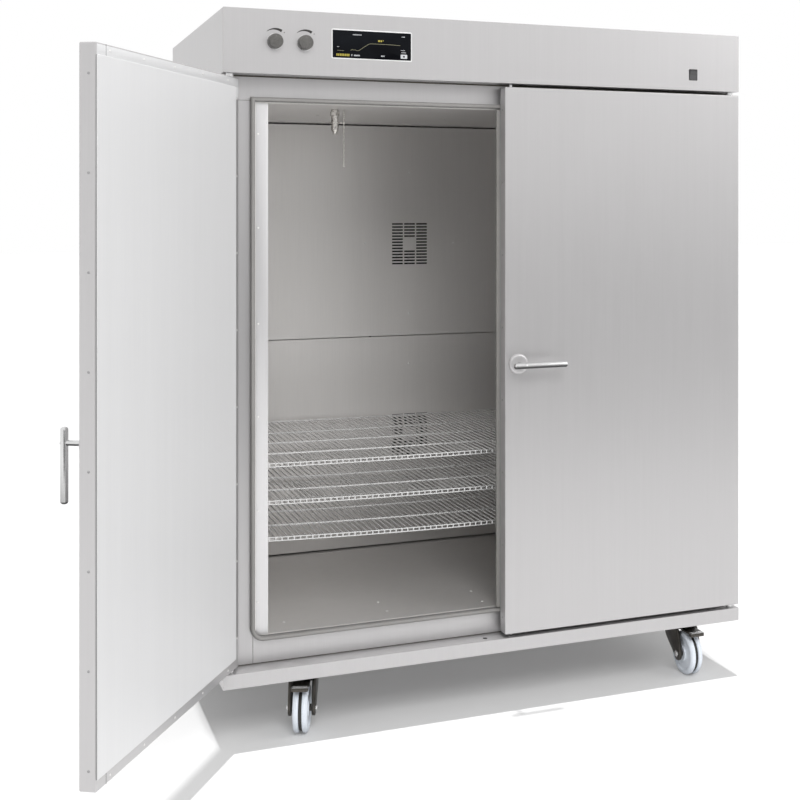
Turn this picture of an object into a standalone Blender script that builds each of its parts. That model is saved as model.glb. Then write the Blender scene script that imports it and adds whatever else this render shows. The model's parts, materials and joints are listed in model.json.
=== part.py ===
"""Two-door laboratory drying oven on castors, modelled as its separate pieces, in metres with +Z up.

The origin is on the floor under the middle of the cabinet, and the doors face -Y.
The left door stands open and the right door is shut.
"""
import math

import bmesh
import bpy
from mathutils import Vector

# Cabinet, from the floor up and from the door fronts to the rear panel
CABINET_WIDTH = 1.500
CABINET_DEPTH = 0.940
CASTOR_HEIGHT = 0.165
BASE_HEIGHT = 0.037
DOOR_GAP = 0.010
DOOR_HEIGHT = 1.498
HOOD_HEIGHT = 0.165
SHEET = 0.0015
CLEARANCE = 0.0003
CASTOR_PAD_WIDTH = 0.300
CASTOR_PAD_DEPTH = 0.190

# Doors, their hinge axes and the bolts that the levers drive
DOOR_EDGE = 0.037
DOOR_BORDER = 0.040
LINER_END_INSET = 0.025
LINER_HINGE_INSET = 0.024
LINER_FREE_INSET = 0.0012
LINER_RISE = 0.003
LEFT_FREE_EDGE = 0.0015
RIGHT_FREE_EDGE = 0.0115
CORE_END_GAP = 0.040
HINGE_INSET = 0.0203
HINGE_DEPTH = 0.021
HINGE_PIN_RADIUS = 0.005
HINGE_PIN_REACH = 0.025
HINGE_COLLAR_RADIUS = 0.010
LEFT_DOOR_OPEN = math.radians(121.9)
BOLT_OFFSET = 0.0375
BOLT_DEPTH = 0.026
BOLT_RADIUS = 0.005
BOLT_TRAVEL = 0.0085
BOLT_START = 0.020
KEEPER_RADIUS = 0.0065
CHANNEL_WIDTH = 0.055
CHANNEL_WALL = 0.010
CENTRE_SEAL_LAP = 0.0097
CENTRE_SEAL_WIDTH = 0.027
CENTRE_SEAL_RISE = 0.0147

# Levers
LEFT_LEVER_RISE = 0.689
RIGHT_LEVER_RISE = 0.739
LEVER_INSET = 0.0385
LEVER_STANDOFF = 0.052
LEVER_LENGTH = 0.158
LEVER_TAIL = 0.033
LEVER_RADIUS = 0.008
STEM_RADIUS = 0.0058
STEM_REACH = 0.030
ROSETTE_RADIUS = 0.028
ROSETTE_THICKNESS = 0.008

# Chamber, gasket and the air panels
GASKET_ROOM = 0.019
GASKET_WIDTH = 0.012
GASKET_SIDE_OFFSET = 0.035
GASKET_END_OFFSET = 0.003
GASKET_CORNER = 0.035
CHAMBER_SIDE_WALL = 0.125
CHAMBER_FLOOR_RISE = 0.065
CHAMBER_CEILING_DROP = 0.060
REAR_SPACE = 0.050
AIR_SPACE = 0.070
FLANGE_GAP = 0.0005
PANEL_SEAM_SHARE = 0.4977
PANEL_END_GAP = 0.0045
PANEL_SEAM_GAP = 0.0025
UPPER_FAN_SHARE = 0.7173
LOWER_FAN_SHARE = 0.261
VENT_ROWS = 14
VENT_COLUMNS = 3
VENT_ROW_PITCH = 0.010
VENT_OFFSET = 0.0057
VENT_COLUMN_PITCH = 0.0414
VENT_SLOT_WIDTH = 0.0372
VENT_SLOT_HEIGHT = 0.005
VENT_CLOSED_ROWS = (5, 6, 7, 8)

# Air circulation behind the air panels
FAN_RADIUS = 0.080
FAN_HUB_RADIUS = 0.016
FAN_BLADES = 8
FAN_BLADE_WIDTH = 0.002
FAN_GAP = 0.012
FAN_LENGTH = 0.025
FAN_DISC = 0.002
MOTOR_RADIUS = 0.040
SHAFT_RADIUS = 0.004
SHAFT_HOLE_RADIUS = 0.007
HEATER_RING_RADIUS = 0.110
HEATER_TUBE_RADIUS = 0.004
HEATER_GAP = 0.023
HEATER_RING_POINTS = 18

# Shelves and their side racks
SHELF_RISES = (0.2361, 0.332, 0.4305)
SHELF_NAMES = ("shelf_lower", "shelf_middle", "shelf_upper")
SHELF_SIDE_GAP = 0.010
SHELF_SETBACK = 0.058
SHELF_BACK_GAP = 0.015
SHELF_THICKNESS = 0.007
SHELF_RIM = 0.010
SHELF_WIRE = 0.005
SHELF_WIRES = 47
RACK_UPRIGHT = 0.003
RACK_UPRIGHT_WIDTH = 0.025
RACK_FRONT_SETBACK = 0.141
RACK_BACK_GAP = 0.125
RACK_FOOT_GAP = 0.040
RACK_HEAD_GAP = 0.150
RUNNER_WIDTH = 0.042
RUNNER_THICKNESS = 0.002

# Hood fittings
FASCIA = 0.002
KNOB_RISE = 0.0835
FLAP_KNOB_INSET = 0.131
SPEED_KNOB_INSET = 0.2085
KNOB_RADIUS = 0.0208
KNOB_LENGTH = 0.018
KNOB_EDGE = 0.0015
KNOB_SHAFT_REACH = 0.024
DISPLAY_INSET = 0.2805
DISPLAY_RISE = 0.049
DISPLAY_WIDTH = 0.212
DISPLAY_HEIGHT = 0.072
DISPLAY_PROUD = 0.0012
DISPLAY_DEPTH = 0.020
CONTROLLER_DEPTH = 0.045
CONTROLLER_MARGIN = 0.010
SWITCH_INSET = 0.153
SWITCH_RISE = 0.045
SWITCH_WIDTH = 0.025
SWITCH_HEIGHT = 0.030
SWITCH_GAP = 0.001
SWITCH_PIVOT_DEPTH = 0.004
SWITCH_PROUD = 0.002
SWITCH_BODY = 0.016
SWITCH_TILT = math.radians(8.0)

# Exhaust box, shutter and pipe in the hood
EXHAUST_OFFSET = 0.047
EXHAUST_BACK_GAP = 0.170
EXHAUST_HALF = 0.030
EXHAUST_HEAD_GAP = 0.040
PIPE_RADIUS = 0.022
PIPE_WALL = 0.002
PIPE_STUB = 0.015
FLAP_ROD_RADIUS = 0.004
FLAP_MARGIN = 0.004
FLAP_THICKNESS = 0.0015
LUG_THICKNESS = 0.003
LUG_MARGIN = 0.012

# Temperature probe under the chamber ceiling
PROBE_INSET = 0.215
PROBE_SETBACK = 0.152
PROBE_RADIUS = 0.010
PROBE_LENGTH = 0.069
PROBE_COLLAR_RADIUS = 0.014
PROBE_COLLAR_DROP = 0.034
PROBE_COLLAR = 0.005
PROBE_ROD_OFFSET = 0.025
PROBE_ROD_RADIUS = 0.002
PROBE_ROD_LENGTH = 0.160
PROBE_ARM_WIDTH = 0.008

# Castors
CASTOR_LEFT_INSET = 0.233
CASTOR_RIGHT_INSET = 0.126
CASTOR_INSET = 0.123
CASTOR_TRAIL = 0.040
CASTOR_TURNS = {
    "front_left": math.radians(-19.0),
    "front_right": math.radians(0.0),
    "rear_left": math.radians(12.0),
    "rear_right": math.radians(-8.0),
}
WHEEL_RADIUS = 0.063
WHEEL_WIDTH = 0.040
WHEEL_EDGE = 0.006
WHEEL_GROOVE_WIDTH = 0.005
WHEEL_GROOVE_DEPTH = 0.004
WHEEL_SIDES = 24
AXLE_RADIUS = 0.005
AXLE_STUB = 0.003
LEG_THICKNESS = 0.010
LEG_GAP = 0.006
WEB_THICKNESS = 0.004
LEG_TOP_HALF = 0.038
LEG_SHOULDER_DROP = 0.036
LEG_FOOT_HALF = 0.020
CROWN_THICKNESS = 0.006
HEAD_HEIGHT = 0.018
HEAD_RADIUS = 0.036
PEDAL_REACH = 0.084
PEDAL_THICKNESS = 0.004
PEDAL_PIVOT_OUT = 0.018
PEDAL_PIVOT_DROP = 0.008
PEDAL_HUB_RADIUS = 0.004
PEDAL_HALF_WIDTH = 0.015
PEDAL_END_LENGTH = 0.016
PEDAL_END_DROP = 0.006
PEDAL_END_HALF = 0.022

ROUND_SIDES = 24
SMALL_SIDES = 16
OVERCUT = 0.010

# Levels and planes that follow from the sizes above
HALF_WIDTH = CABINET_WIDTH / 2
FRONT = -CABINET_DEPTH / 2
BACK = CABINET_DEPTH / 2
BODY_BOTTOM = CASTOR_HEIGHT + BASE_HEIGHT
DOOR_BOTTOM = BODY_BOTTOM + DOOR_GAP
DOOR_TOP = DOOR_BOTTOM + DOOR_HEIGHT
HOOD_BOTTOM = DOOR_TOP + DOOR_GAP
HOOD_TOP = HOOD_BOTTOM + HOOD_HEIGHT
FRAME_FRONT = FRONT + DOOR_EDGE + LINER_RISE + GASKET_ROOM
FLANGE_FRONT = FRAME_FRONT - CLEARANCE - SHEET
BEHIND_FRAME = FRAME_FRONT + SHEET + CLEARANCE
CHAMBER_FLOOR = DOOR_BOTTOM + CHAMBER_FLOOR_RISE
CHAMBER_CEILING = DOOR_TOP - CHAMBER_CEILING_DROP
CHAMBER_HEIGHT = CHAMBER_CEILING - CHAMBER_FLOOR
CHAMBER_HALF = HALF_WIDTH - CHAMBER_SIDE_WALL
LINER_BACK = BACK - REAR_SPACE
PANEL_FRONT = LINER_BACK - AIR_SPACE
PANEL_SEAM_Z = CHAMBER_FLOOR + CHAMBER_HEIGHT * PANEL_SEAM_SHARE
UPPER_FAN_Z = CHAMBER_FLOOR + CHAMBER_HEIGHT * UPPER_FAN_SHARE
LOWER_FAN_Z = CHAMBER_FLOOR + CHAMBER_HEIGHT * LOWER_FAN_SHARE
FAN_FRONT = PANEL_FRONT + FAN_GAP
LEFT_LEVER_Z = DOOR_BOTTOM + LEFT_LEVER_RISE
RIGHT_LEVER_Z = DOOR_BOTTOM + RIGHT_LEVER_RISE
SHELF_HEIGHTS = tuple(CHAMBER_FLOOR + rise for rise in SHELF_RISES)
SHELF_WIDTH = 2 * (CHAMBER_HALF - SHELF_SIDE_GAP)
SHELF_FRONT = FRAME_FRONT + SHELF_SETBACK
SHELF_BACK = PANEL_FRONT - SHELF_BACK_GAP
KNOB_Z = HOOD_BOTTOM + KNOB_RISE
FLAP_KNOB_X = FLAP_KNOB_INSET - HALF_WIDTH
SPEED_KNOB_X = SPEED_KNOB_INSET - HALF_WIDTH
DISPLAY_LEFT = DISPLAY_INSET - HALF_WIDTH
DISPLAY_BOTTOM = HOOD_BOTTOM + DISPLAY_RISE
SWITCH_X = HALF_WIDTH - SWITCH_INSET
SWITCH_Z = HOOD_BOTTOM + SWITCH_RISE
EXHAUST_X = FLAP_KNOB_X + EXHAUST_OFFSET
EXHAUST_Y = BACK - EXHAUST_BACK_GAP
EXHAUST_TOP = HOOD_TOP - EXHAUST_HEAD_GAP
CASTOR_LEFT_X = CASTOR_LEFT_INSET - HALF_WIDTH
CASTOR_RIGHT_X = HALF_WIDTH - CASTOR_RIGHT_INSET
FLAP_FACE = EXHAUST_Y + EXHAUST_HALF + CLEARANCE
AXLE_Z = WHEEL_RADIUS * math.cos(math.pi / WHEEL_SIDES)
LEG_INNER = WHEEL_WIDTH / 2 + LEG_GAP
HEAD_BOTTOM = CASTOR_HEIGHT - CLEARANCE - HEAD_HEIGHT
CROWN_BOTTOM = HEAD_BOTTOM - CROWN_THICKNESS


def clear_scene():
    for old in list(bpy.data.objects):
        bpy.data.objects.remove(old, do_unlink=True)


def finish(name, colour, roughness, metallic):
    """A Principled material with one colour, roughness and metallic value."""
    material = bpy.data.materials.new(name)
    material.use_nodes = True
    shader = material.node_tree.nodes["Principled BSDF"]
    shader.inputs["Base Color"].default_value = (*colour, 1.0)
    shader.inputs["Roughness"].default_value = roughness
    shader.inputs["Metallic"].default_value = metallic
    return material


def add_box(shape, low, high):
    """A box between two corners."""
    made = bmesh.ops.create_cube(shape, size=1.0)
    low = Vector(low)
    high = Vector(high)
    bmesh.ops.scale(shape, vec=high - low, verts=made["verts"])
    bmesh.ops.translate(shape, vec=(high + low) / 2, verts=made["verts"])
    return shape


def add_turned(shape, outline, origin, axis, sides, first=None, closed=False):
    """An outline of (radius, distance along the axis) points, spun a full turn about the axis."""
    origin = Vector(origin)
    axis = Vector(axis).normalized()
    side = Vector(first).normalized() if first else axis.orthogonal().normalized()
    points = [shape.verts.new(origin + axis * along + side * radius) for radius, along in outline]
    pairs = list(zip(points, points[1:]))
    if closed:
        pairs.append((points[-1], points[0]))
    edges = [shape.edges.new(pair) for pair in pairs]
    spun = bmesh.ops.spin(
        shape, geom=points + edges, cent=origin, axis=axis, angle=math.tau, steps=sides, use_merge=True
    )
    ends = [item for item in spun["geom_last"] if isinstance(item, bmesh.types.BMVert)]
    linked = set(points) | set(ends)
    for face in list(shape.faces):
        linked.update(face.verts)
    bmesh.ops.remove_doubles(shape, verts=[vert for vert in linked if vert.is_valid], dist=1e-6)
    return shape


def add_rod(shape, start, end, radius, sides=SMALL_SIDES):
    """A plain round bar between two points."""
    run = Vector(end) - Vector(start)
    outline = [(0.0, 0.0), (radius, 0.0), (radius, run.length), (0.0, run.length)]
    return add_turned(shape, outline, start, run, sides)


def add_prism(shape, outline, low, high, axis):
    """A flat outline carried straight from low to high along the X, Y or Z axis (0, 1 or 2)."""
    loops = []
    for level in (low, high):
        loop = []
        for first, second in outline:
            place = [first, second]
            place.insert(axis, level)
            loop.append(shape.verts.new(place))
        loops.append(loop)
    shape.faces.new(loops[0])
    shape.faces.new(loops[1])
    count = len(outline)
    for index in range(count):
        following = (index + 1) % count
        shape.faces.new((loops[0][index], loops[0][following], loops[1][following], loops[1][index]))
    return shape


def boxes(*corners):
    shape = bmesh.new()
    for low, high in corners:
        add_box(shape, low, high)
    return shape


def rod(start, end, radius, sides=SMALL_SIDES):
    return add_rod(bmesh.new(), start, end, radius, sides)


def turned(outline, origin, axis, sides, first=None, closed=False):
    return add_turned(bmesh.new(), outline, origin, axis, sides, first, closed)


def to_object(name, shape, parent, place):
    bmesh.ops.recalc_face_normals(shape, faces=shape.faces)
    mesh = bpy.data.meshes.new(name)
    shape.to_mesh(mesh)
    shape.free()
    made = bpy.data.objects.new(name, mesh)
    made.parent = parent
    made.location = place
    bpy.context.scene.collection.objects.link(made)
    return made


def piece(name, shape, material, parent=None, place=(0, 0, 0), smooth=False):
    """One sub-part: its shape is given about its own origin, which lies at place under its parent."""
    made = to_object(name, shape, parent, place)
    made.data.materials.append(material)
    if smooth:
        made.data.shade_smooth()
        made.data.set_sharp_from_angle(angle=math.radians(35))
    return made


def combine(owner, shape, operation):
    """A Boolean of a piece with a hidden helper that sits in the same frame as the piece."""
    helper = to_object(f"{owner.name}_{operation.lower()}_{len(owner.modifiers)}", shape, owner.parent, owner.location)
    helper.hide_render = True
    helper.display_type = "WIRE"
    change = owner.modifiers.new(helper.name, "BOOLEAN")
    change.operation = operation
    change.object = helper


def cut(owner, shape):
    combine(owner, shape, "DIFFERENCE")


def weld(owner, shape):
    combine(owner, shape, "UNION")


def axis_point(name, place, parent=None, turn=(0, 0, 0)):
    """An empty on a joint's axis, turned to the rest pose."""
    made = bpy.data.objects.new(name, None)
    made.parent = parent
    made.location = place
    made.rotation_euler = turn
    bpy.context.scene.collection.objects.link(made)
    return made


def between(side, near, far):
    """The X range between two distances from the cabinet's middle plane, on one side of it."""
    ends = sorted((side * near, side * far))
    return ends[0], ends[1]


def bolt_x(side):
    return side * BOLT_OFFSET


def hinge_x(side):
    return side * (HALF_WIDTH - HINGE_INSET)


def make_base(steel):
    """Folded sheet tray with its open side down, and a solid pad in each corner for a castor."""
    base = piece("base_frame", boxes(((-HALF_WIDTH, FRONT, CASTOR_HEIGHT), (HALF_WIDTH, BACK, BODY_BOTTOM))), steel)
    under = CASTOR_HEIGHT - OVERCUT
    ceiling = BODY_BOTTOM - SHEET
    across = HALF_WIDTH - CASTOR_PAD_WIDTH
    inner_x = HALF_WIDTH - SHEET
    inner_y = BACK - SHEET
    along = BACK - CASTOR_PAD_DEPTH
    cut(base, boxes(((-across, -inner_y, under), (across, inner_y, ceiling))))
    cut(base, boxes(((-inner_x, -along, under), (inner_x, along, ceiling))))
    keepers = bmesh.new()
    for side in (-1, 1):
        place = (bolt_x(side), FRONT + BOLT_DEPTH)
        add_rod(keepers, (*place, ceiling - OVERCUT), (*place, BODY_BOTTOM + OVERCUT), KEEPER_RADIUS)
    cut(base, keepers)


def make_shell(steel, wool):
    """Side and rear panels, the front frame and the insulation between shell and chamber."""
    low = BODY_BOTTOM + CLEARANCE
    high = HOOD_BOTTOM - CLEARANCE
    behind = BACK - SHEET - CLEARANCE
    for name, side in (("left_side_panel", -1), ("right_side_panel", 1)):
        left, right = between(side, HALF_WIDTH - SHEET, HALF_WIDTH)
        piece(name, boxes(((left, BEHIND_FRAME, low), (right, behind, high))), steel)
    piece("rear_panel", boxes(((-HALF_WIDTH, BACK - SHEET, low), (HALF_WIDTH, BACK, high))), steel)

    frame = piece(
        "front_frame", boxes(((-HALF_WIDTH, FRAME_FRONT, low), (HALF_WIDTH, FRAME_FRONT + SHEET, high))), steel
    )
    reach = SHEET + CLEARANCE
    hole_x = CHAMBER_HALF + reach
    hole_low = CHAMBER_FLOOR - reach
    hole_high = CHAMBER_CEILING + reach
    cut(frame, boxes(((-hole_x, FRAME_FRONT - OVERCUT, hole_low), (hole_x, BEHIND_FRAME + OVERCUT, hole_high))))

    block_x = HALF_WIDTH - SHEET - CLEARANCE
    block = piece("chamber_insulation", boxes(((-block_x, BEHIND_FRAME, low), (block_x, behind, high))), wool)
    liner_end = LINER_BACK + SHEET + CLEARANCE
    cut(block, boxes(((-hole_x, BEHIND_FRAME - OVERCUT, hole_low), (hole_x, liner_end, hole_high))))
    pockets = bmesh.new()
    for height in (UPPER_FAN_Z, LOWER_FAN_Z):
        add_rod(
            pockets, (0, liner_end - OVERCUT, height), (0, BACK, height), MOTOR_RADIUS + CLEARANCE, ROUND_SIDES
        )
    cut(block, pockets)
    duct = EXHAUST_HALF + CLEARANCE
    cut(
        block,
        boxes(
            (
                (EXHAUST_X - duct, EXHAUST_Y - duct, hole_high - OVERCUT),
                (EXHAUST_X + duct, EXHAUST_Y + duct, high + OVERCUT),
            )
        ),
    )


def gasket_outline(grow):
    """The opening's outline grown outwards, with round lower corners and square upper ones."""
    half = CHAMBER_HALF + GASKET_SIDE_OFFSET + grow
    low = CHAMBER_FLOOR - GASKET_END_OFFSET - grow
    high = CHAMBER_CEILING + GASKET_END_OFFSET + grow
    radius = GASKET_CORNER - GASKET_WIDTH + grow
    steps = 6
    points = [(half, high), (-half, high)]
    for side in (-1, 1):
        for step in range(steps + 1):
            share = step / steps
            angle = math.pi / 2 * (share if side < 0 else 1 - share)
            across = side * (half - radius + radius * math.cos(angle))
            points.append((across, low + radius - radius * math.sin(angle)))
    return points


def make_chamber(steel, rubber):
    """Welded inner box with its front flange, the two rear air panels and the door gasket."""
    wall_x = CHAMBER_HALF + SHEET
    box_low = CHAMBER_FLOOR - SHEET
    box_high = CHAMBER_CEILING + SHEET
    liner = piece(
        "chamber_liner",
        boxes(((-wall_x, FLANGE_FRONT + SHEET / 2, box_low), (wall_x, LINER_BACK + SHEET, box_high))),
        steel,
    )
    weld(liner, add_prism(bmesh.new(), gasket_outline(-FLANGE_GAP), FLANGE_FRONT, FLANGE_FRONT + SHEET, 1))
    cut(
        liner,
        boxes(
            (
                (-CHAMBER_HALF, FLANGE_FRONT - OVERCUT, CHAMBER_FLOOR),
                (CHAMBER_HALF, LINER_BACK, CHAMBER_CEILING),
            )
        ),
    )
    inlet = EXHAUST_HALF - SHEET
    openings = boxes(
        (
            (EXHAUST_X - inlet, EXHAUST_Y - inlet, CHAMBER_CEILING - OVERCUT),
            (EXHAUST_X + inlet, EXHAUST_Y + inlet, box_high + OVERCUT),
        )
    )
    for height in (UPPER_FAN_Z, LOWER_FAN_Z):
        add_rod(
            openings, (0, LINER_BACK - OVERCUT, height), (0, LINER_BACK + OVERCUT, height), SHAFT_HOLE_RADIUS
        )
    cut(liner, openings)

    panel_x = CHAMBER_HALF - CLEARANCE
    seam = PANEL_SEAM_GAP / 2
    panels = (
        ("rear_air_panel_lower", CHAMBER_FLOOR + PANEL_END_GAP, PANEL_SEAM_Z - seam, LOWER_FAN_Z),
        ("rear_air_panel_upper", PANEL_SEAM_Z + seam, CHAMBER_CEILING - PANEL_END_GAP, UPPER_FAN_Z),
    )
    for name, low, high, vent_z in panels:
        panel = piece(name, boxes(((-panel_x, PANEL_FRONT, low), (panel_x, PANEL_FRONT + SHEET, high))), steel)
        cut(panel, vent_slots(vent_z))

    gasket_back = FRAME_FRONT - CLEARANCE
    gasket_front = FRAME_FRONT - GASKET_ROOM + CLEARANCE
    gasket = piece(
        "door_gasket",
        add_prism(bmesh.new(), gasket_outline(GASKET_WIDTH), gasket_front, gasket_back, 1),
        rubber,
    )
    cut(gasket, add_prism(bmesh.new(), gasket_outline(0.0), gasket_front - OVERCUT, gasket_back + OVERCUT, 1))


def vent_slots(centre_z):
    """Columns of level slots in front of a fan, with the middle column closed over the fan's hub."""
    slots = bmesh.new()
    for row in range(VENT_ROWS):
        height = centre_z + (row - (VENT_ROWS - 1) / 2) * VENT_ROW_PITCH
        for column in range(VENT_COLUMNS):
            if column == VENT_COLUMNS // 2 and row in VENT_CLOSED_ROWS:
                continue
            across = (column - (VENT_COLUMNS - 1) / 2) * VENT_COLUMN_PITCH - VENT_OFFSET
            add_box(
                slots,
                (across - VENT_SLOT_WIDTH / 2, PANEL_FRONT - OVERCUT, height - VENT_SLOT_HEIGHT / 2),
                (across + VENT_SLOT_WIDTH / 2, PANEL_FRONT + OVERCUT, height + VENT_SLOT_HEIGHT / 2),
            )
    return slots


def make_air_circulation(steel, dark):
    """Fan wheels on motor shafts behind the air panels, and one tubular heater ringing both fans."""
    for name, height in (("upper", UPPER_FAN_Z), ("lower", LOWER_FAN_Z)):
        body_front = LINER_BACK + SHEET + CLEARANCE
        body_length = BACK - SHEET - CLEARANCE - body_front
        shaft_front = FAN_FRONT + FAN_DISC
        shaft_length = body_front - shaft_front
        outline = [
            (0.0, 0.0),
            (SHAFT_RADIUS, 0.0),
            (SHAFT_RADIUS, shaft_length),
            (MOTOR_RADIUS, shaft_length),
            (MOTOR_RADIUS, shaft_length + body_length),
            (0.0, shaft_length + body_length),
        ]
        piece(
            f"fan_motor_{name}", turned(outline, (0, shaft_front, height), (0, 1, 0), ROUND_SIDES), dark, smooth=True
        )

        rear = FAN_LENGTH
        bore = SHAFT_RADIUS + CLEARANCE
        wheel_outline = [
            (0.0, 0.0),
            (FAN_HUB_RADIUS, 0.0),
            (FAN_HUB_RADIUS, rear - FAN_DISC),
            (FAN_RADIUS, rear - FAN_DISC),
            (FAN_RADIUS, rear),
            (bore, rear),
            (bore, FAN_DISC - CLEARANCE),
            (0.0, FAN_DISC - CLEARANCE),
        ]
        wheel = piece(
            f"fan_wheel_{name}",
            turned(wheel_outline, (0, 0, 0), (0, 1, 0), ROUND_SIDES),
            steel,
            place=(0, FAN_FRONT, height),
        )
        for blade in range(FAN_BLADES // 2):
            weld(wheel, fan_blade_pair(math.pi * 2 * blade / FAN_BLADES, rear))

    piece("heater_coil", heater_tube(), dark, smooth=True)


def fan_blade_pair(angle, rear):
    """Two radial blades opposite each other, rooted in the hub and in the rear disc."""
    pair = bmesh.new()
    root = FAN_HUB_RADIUS - FAN_DISC
    tip = FAN_RADIUS - FAN_DISC
    for turn in (angle, angle + math.pi):
        along = Vector((math.cos(turn), 0, math.sin(turn)))
        made = bmesh.ops.create_cube(pair, size=1.0)
        bmesh.ops.scale(pair, vec=(tip - root, rear - FAN_DISC * 2, FAN_BLADE_WIDTH), verts=made["verts"])
        bmesh.ops.translate(pair, vec=((tip + root) / 2, rear / 2 + FAN_DISC / 4, 0), verts=made["verts"])
        for vert in made["verts"]:
            out = vert.co.x
            up = vert.co.z
            vert.co = along * out + Vector((-along.z, 0, along.x)) * up + Vector((0, vert.co.y, 0))
    return pair


def heater_tube():
    """A tube that enters from the rear wall, rings the lower fan, climbs, rings the upper fan and goes back."""
    depth = PANEL_FRONT + HEATER_GAP
    wall = LINER_BACK - CLEARANCE
    gap = math.radians(30)
    path = []
    for height, start, finish_angle in (
        (LOWER_FAN_Z, -math.pi / 2 + gap, math.pi * 3 / 2 - gap),
        (UPPER_FAN_Z, -math.pi / 2 - gap, -math.pi * 5 / 2 + gap),
    ):
        ring = []
        for step in range(HEATER_RING_POINTS + 1):
            angle = start + (finish_angle - start) * step / HEATER_RING_POINTS
            out = math.cos(angle) * HEATER_RING_RADIUS
            ring.append(Vector((out, depth, height + math.sin(angle) * HEATER_RING_RADIUS)))
        path.append(ring)
    side = Vector((-HEATER_RING_RADIUS - HEATER_TUBE_RADIUS * 6, depth, 0))
    lower_end = path[0][-1]
    upper_start = path[1][0]
    riser = [
        Vector((side.x, depth, lower_end.z - HEATER_TUBE_RADIUS * 4)),
        Vector((side.x, depth, upper_start.z + HEATER_TUBE_RADIUS * 4)),
    ]
    points = [Vector((path[0][0].x, wall, path[0][0].z))]
    points += path[0] + riser + path[1]
    points.append(Vector((path[1][-1].x, wall, path[1][-1].z)))
    return tube_along(points, HEATER_TUBE_RADIUS, 6)


def tube_along(points, radius, sides):
    """A round tube through points, with each ring set square to the mean direction there."""
    shape = bmesh.new()
    rings = []
    last = len(points) - 1
    level = None
    for index, point in enumerate(points):
        before = points[max(index - 1, 0)]
        after = points[min(index + 1, last)]
        along = (after - before).normalized()
        if level is None:
            level = along.orthogonal().normalized()
        level = (level - along * level.dot(along)).normalized()
        cross = along.cross(level)
        ring = []
        for step in range(sides):
            angle = math.tau * step / sides
            ring.append(shape.verts.new(point + (level * math.cos(angle) + cross * math.sin(angle)) * radius))
        rings.append(ring)
    for first, second in zip(rings, rings[1:]):
        for step in range(sides):
            following = (step + 1) % sides
            shape.faces.new((first[step], first[following], second[following], second[step]))
    shape.faces.new(rings[0])
    shape.faces.new(rings[-1])
    return shape


def make_shelves(steel, wire):
    """Three wire shelves on the runners of two side racks."""
    for name, side in (("left_shelf_rack", -1), ("right_shelf_rack", 1)):
        wall = CHAMBER_HALF - CLEARANCE
        left, right = between(side, wall - RACK_UPRIGHT, wall)
        uprights = bmesh.new()
        for start in (FRAME_FRONT + RACK_FRONT_SETBACK, PANEL_FRONT - RACK_BACK_GAP):
            add_box(
                uprights,
                (left, start, CHAMBER_FLOOR + RACK_FOOT_GAP),
                (right, start + RACK_UPRIGHT_WIDTH, CHAMBER_CEILING - RACK_HEAD_GAP),
            )
        rack = piece(name, uprights, steel)
        left, right = between(side, wall - RUNNER_WIDTH, wall - RACK_UPRIGHT / 2)
        runners = bmesh.new()
        for height in SHELF_HEIGHTS:
            top = height - SHELF_THICKNESS - CLEARANCE
            add_box(
                runners,
                (left, SHELF_FRONT, top - RUNNER_THICKNESS),
                (right, SHELF_BACK, top),
            )
        weld(rack, runners)

    width = SHELF_WIDTH / 2
    depth = (SHELF_BACK - SHELF_FRONT) / 2
    pitch = (SHELF_WIDTH - 2 * SHELF_RIM + SHELF_WIRE) / (SHELF_WIRES + 1)
    middle = (SHELF_FRONT + SHELF_BACK) / 2
    for name, height in zip(SHELF_NAMES, SHELF_HEIGHTS):
        shelf = piece(
            name,
            boxes(((-width, -depth, -SHELF_THICKNESS), (width, depth, 0))),
            wire,
            place=(0, middle, height),
        )
        slots = bmesh.new()
        for index in range(SHELF_WIRES + 1):
            left = -width + SHELF_RIM + index * pitch
            right = left + pitch - SHELF_WIRE
            add_box(
                slots,
                (left, -depth + SHELF_RIM, -SHELF_THICKNESS - OVERCUT),
                (right, depth - SHELF_RIM, OVERCUT),
            )
        cut(shelf, slots)


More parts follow.
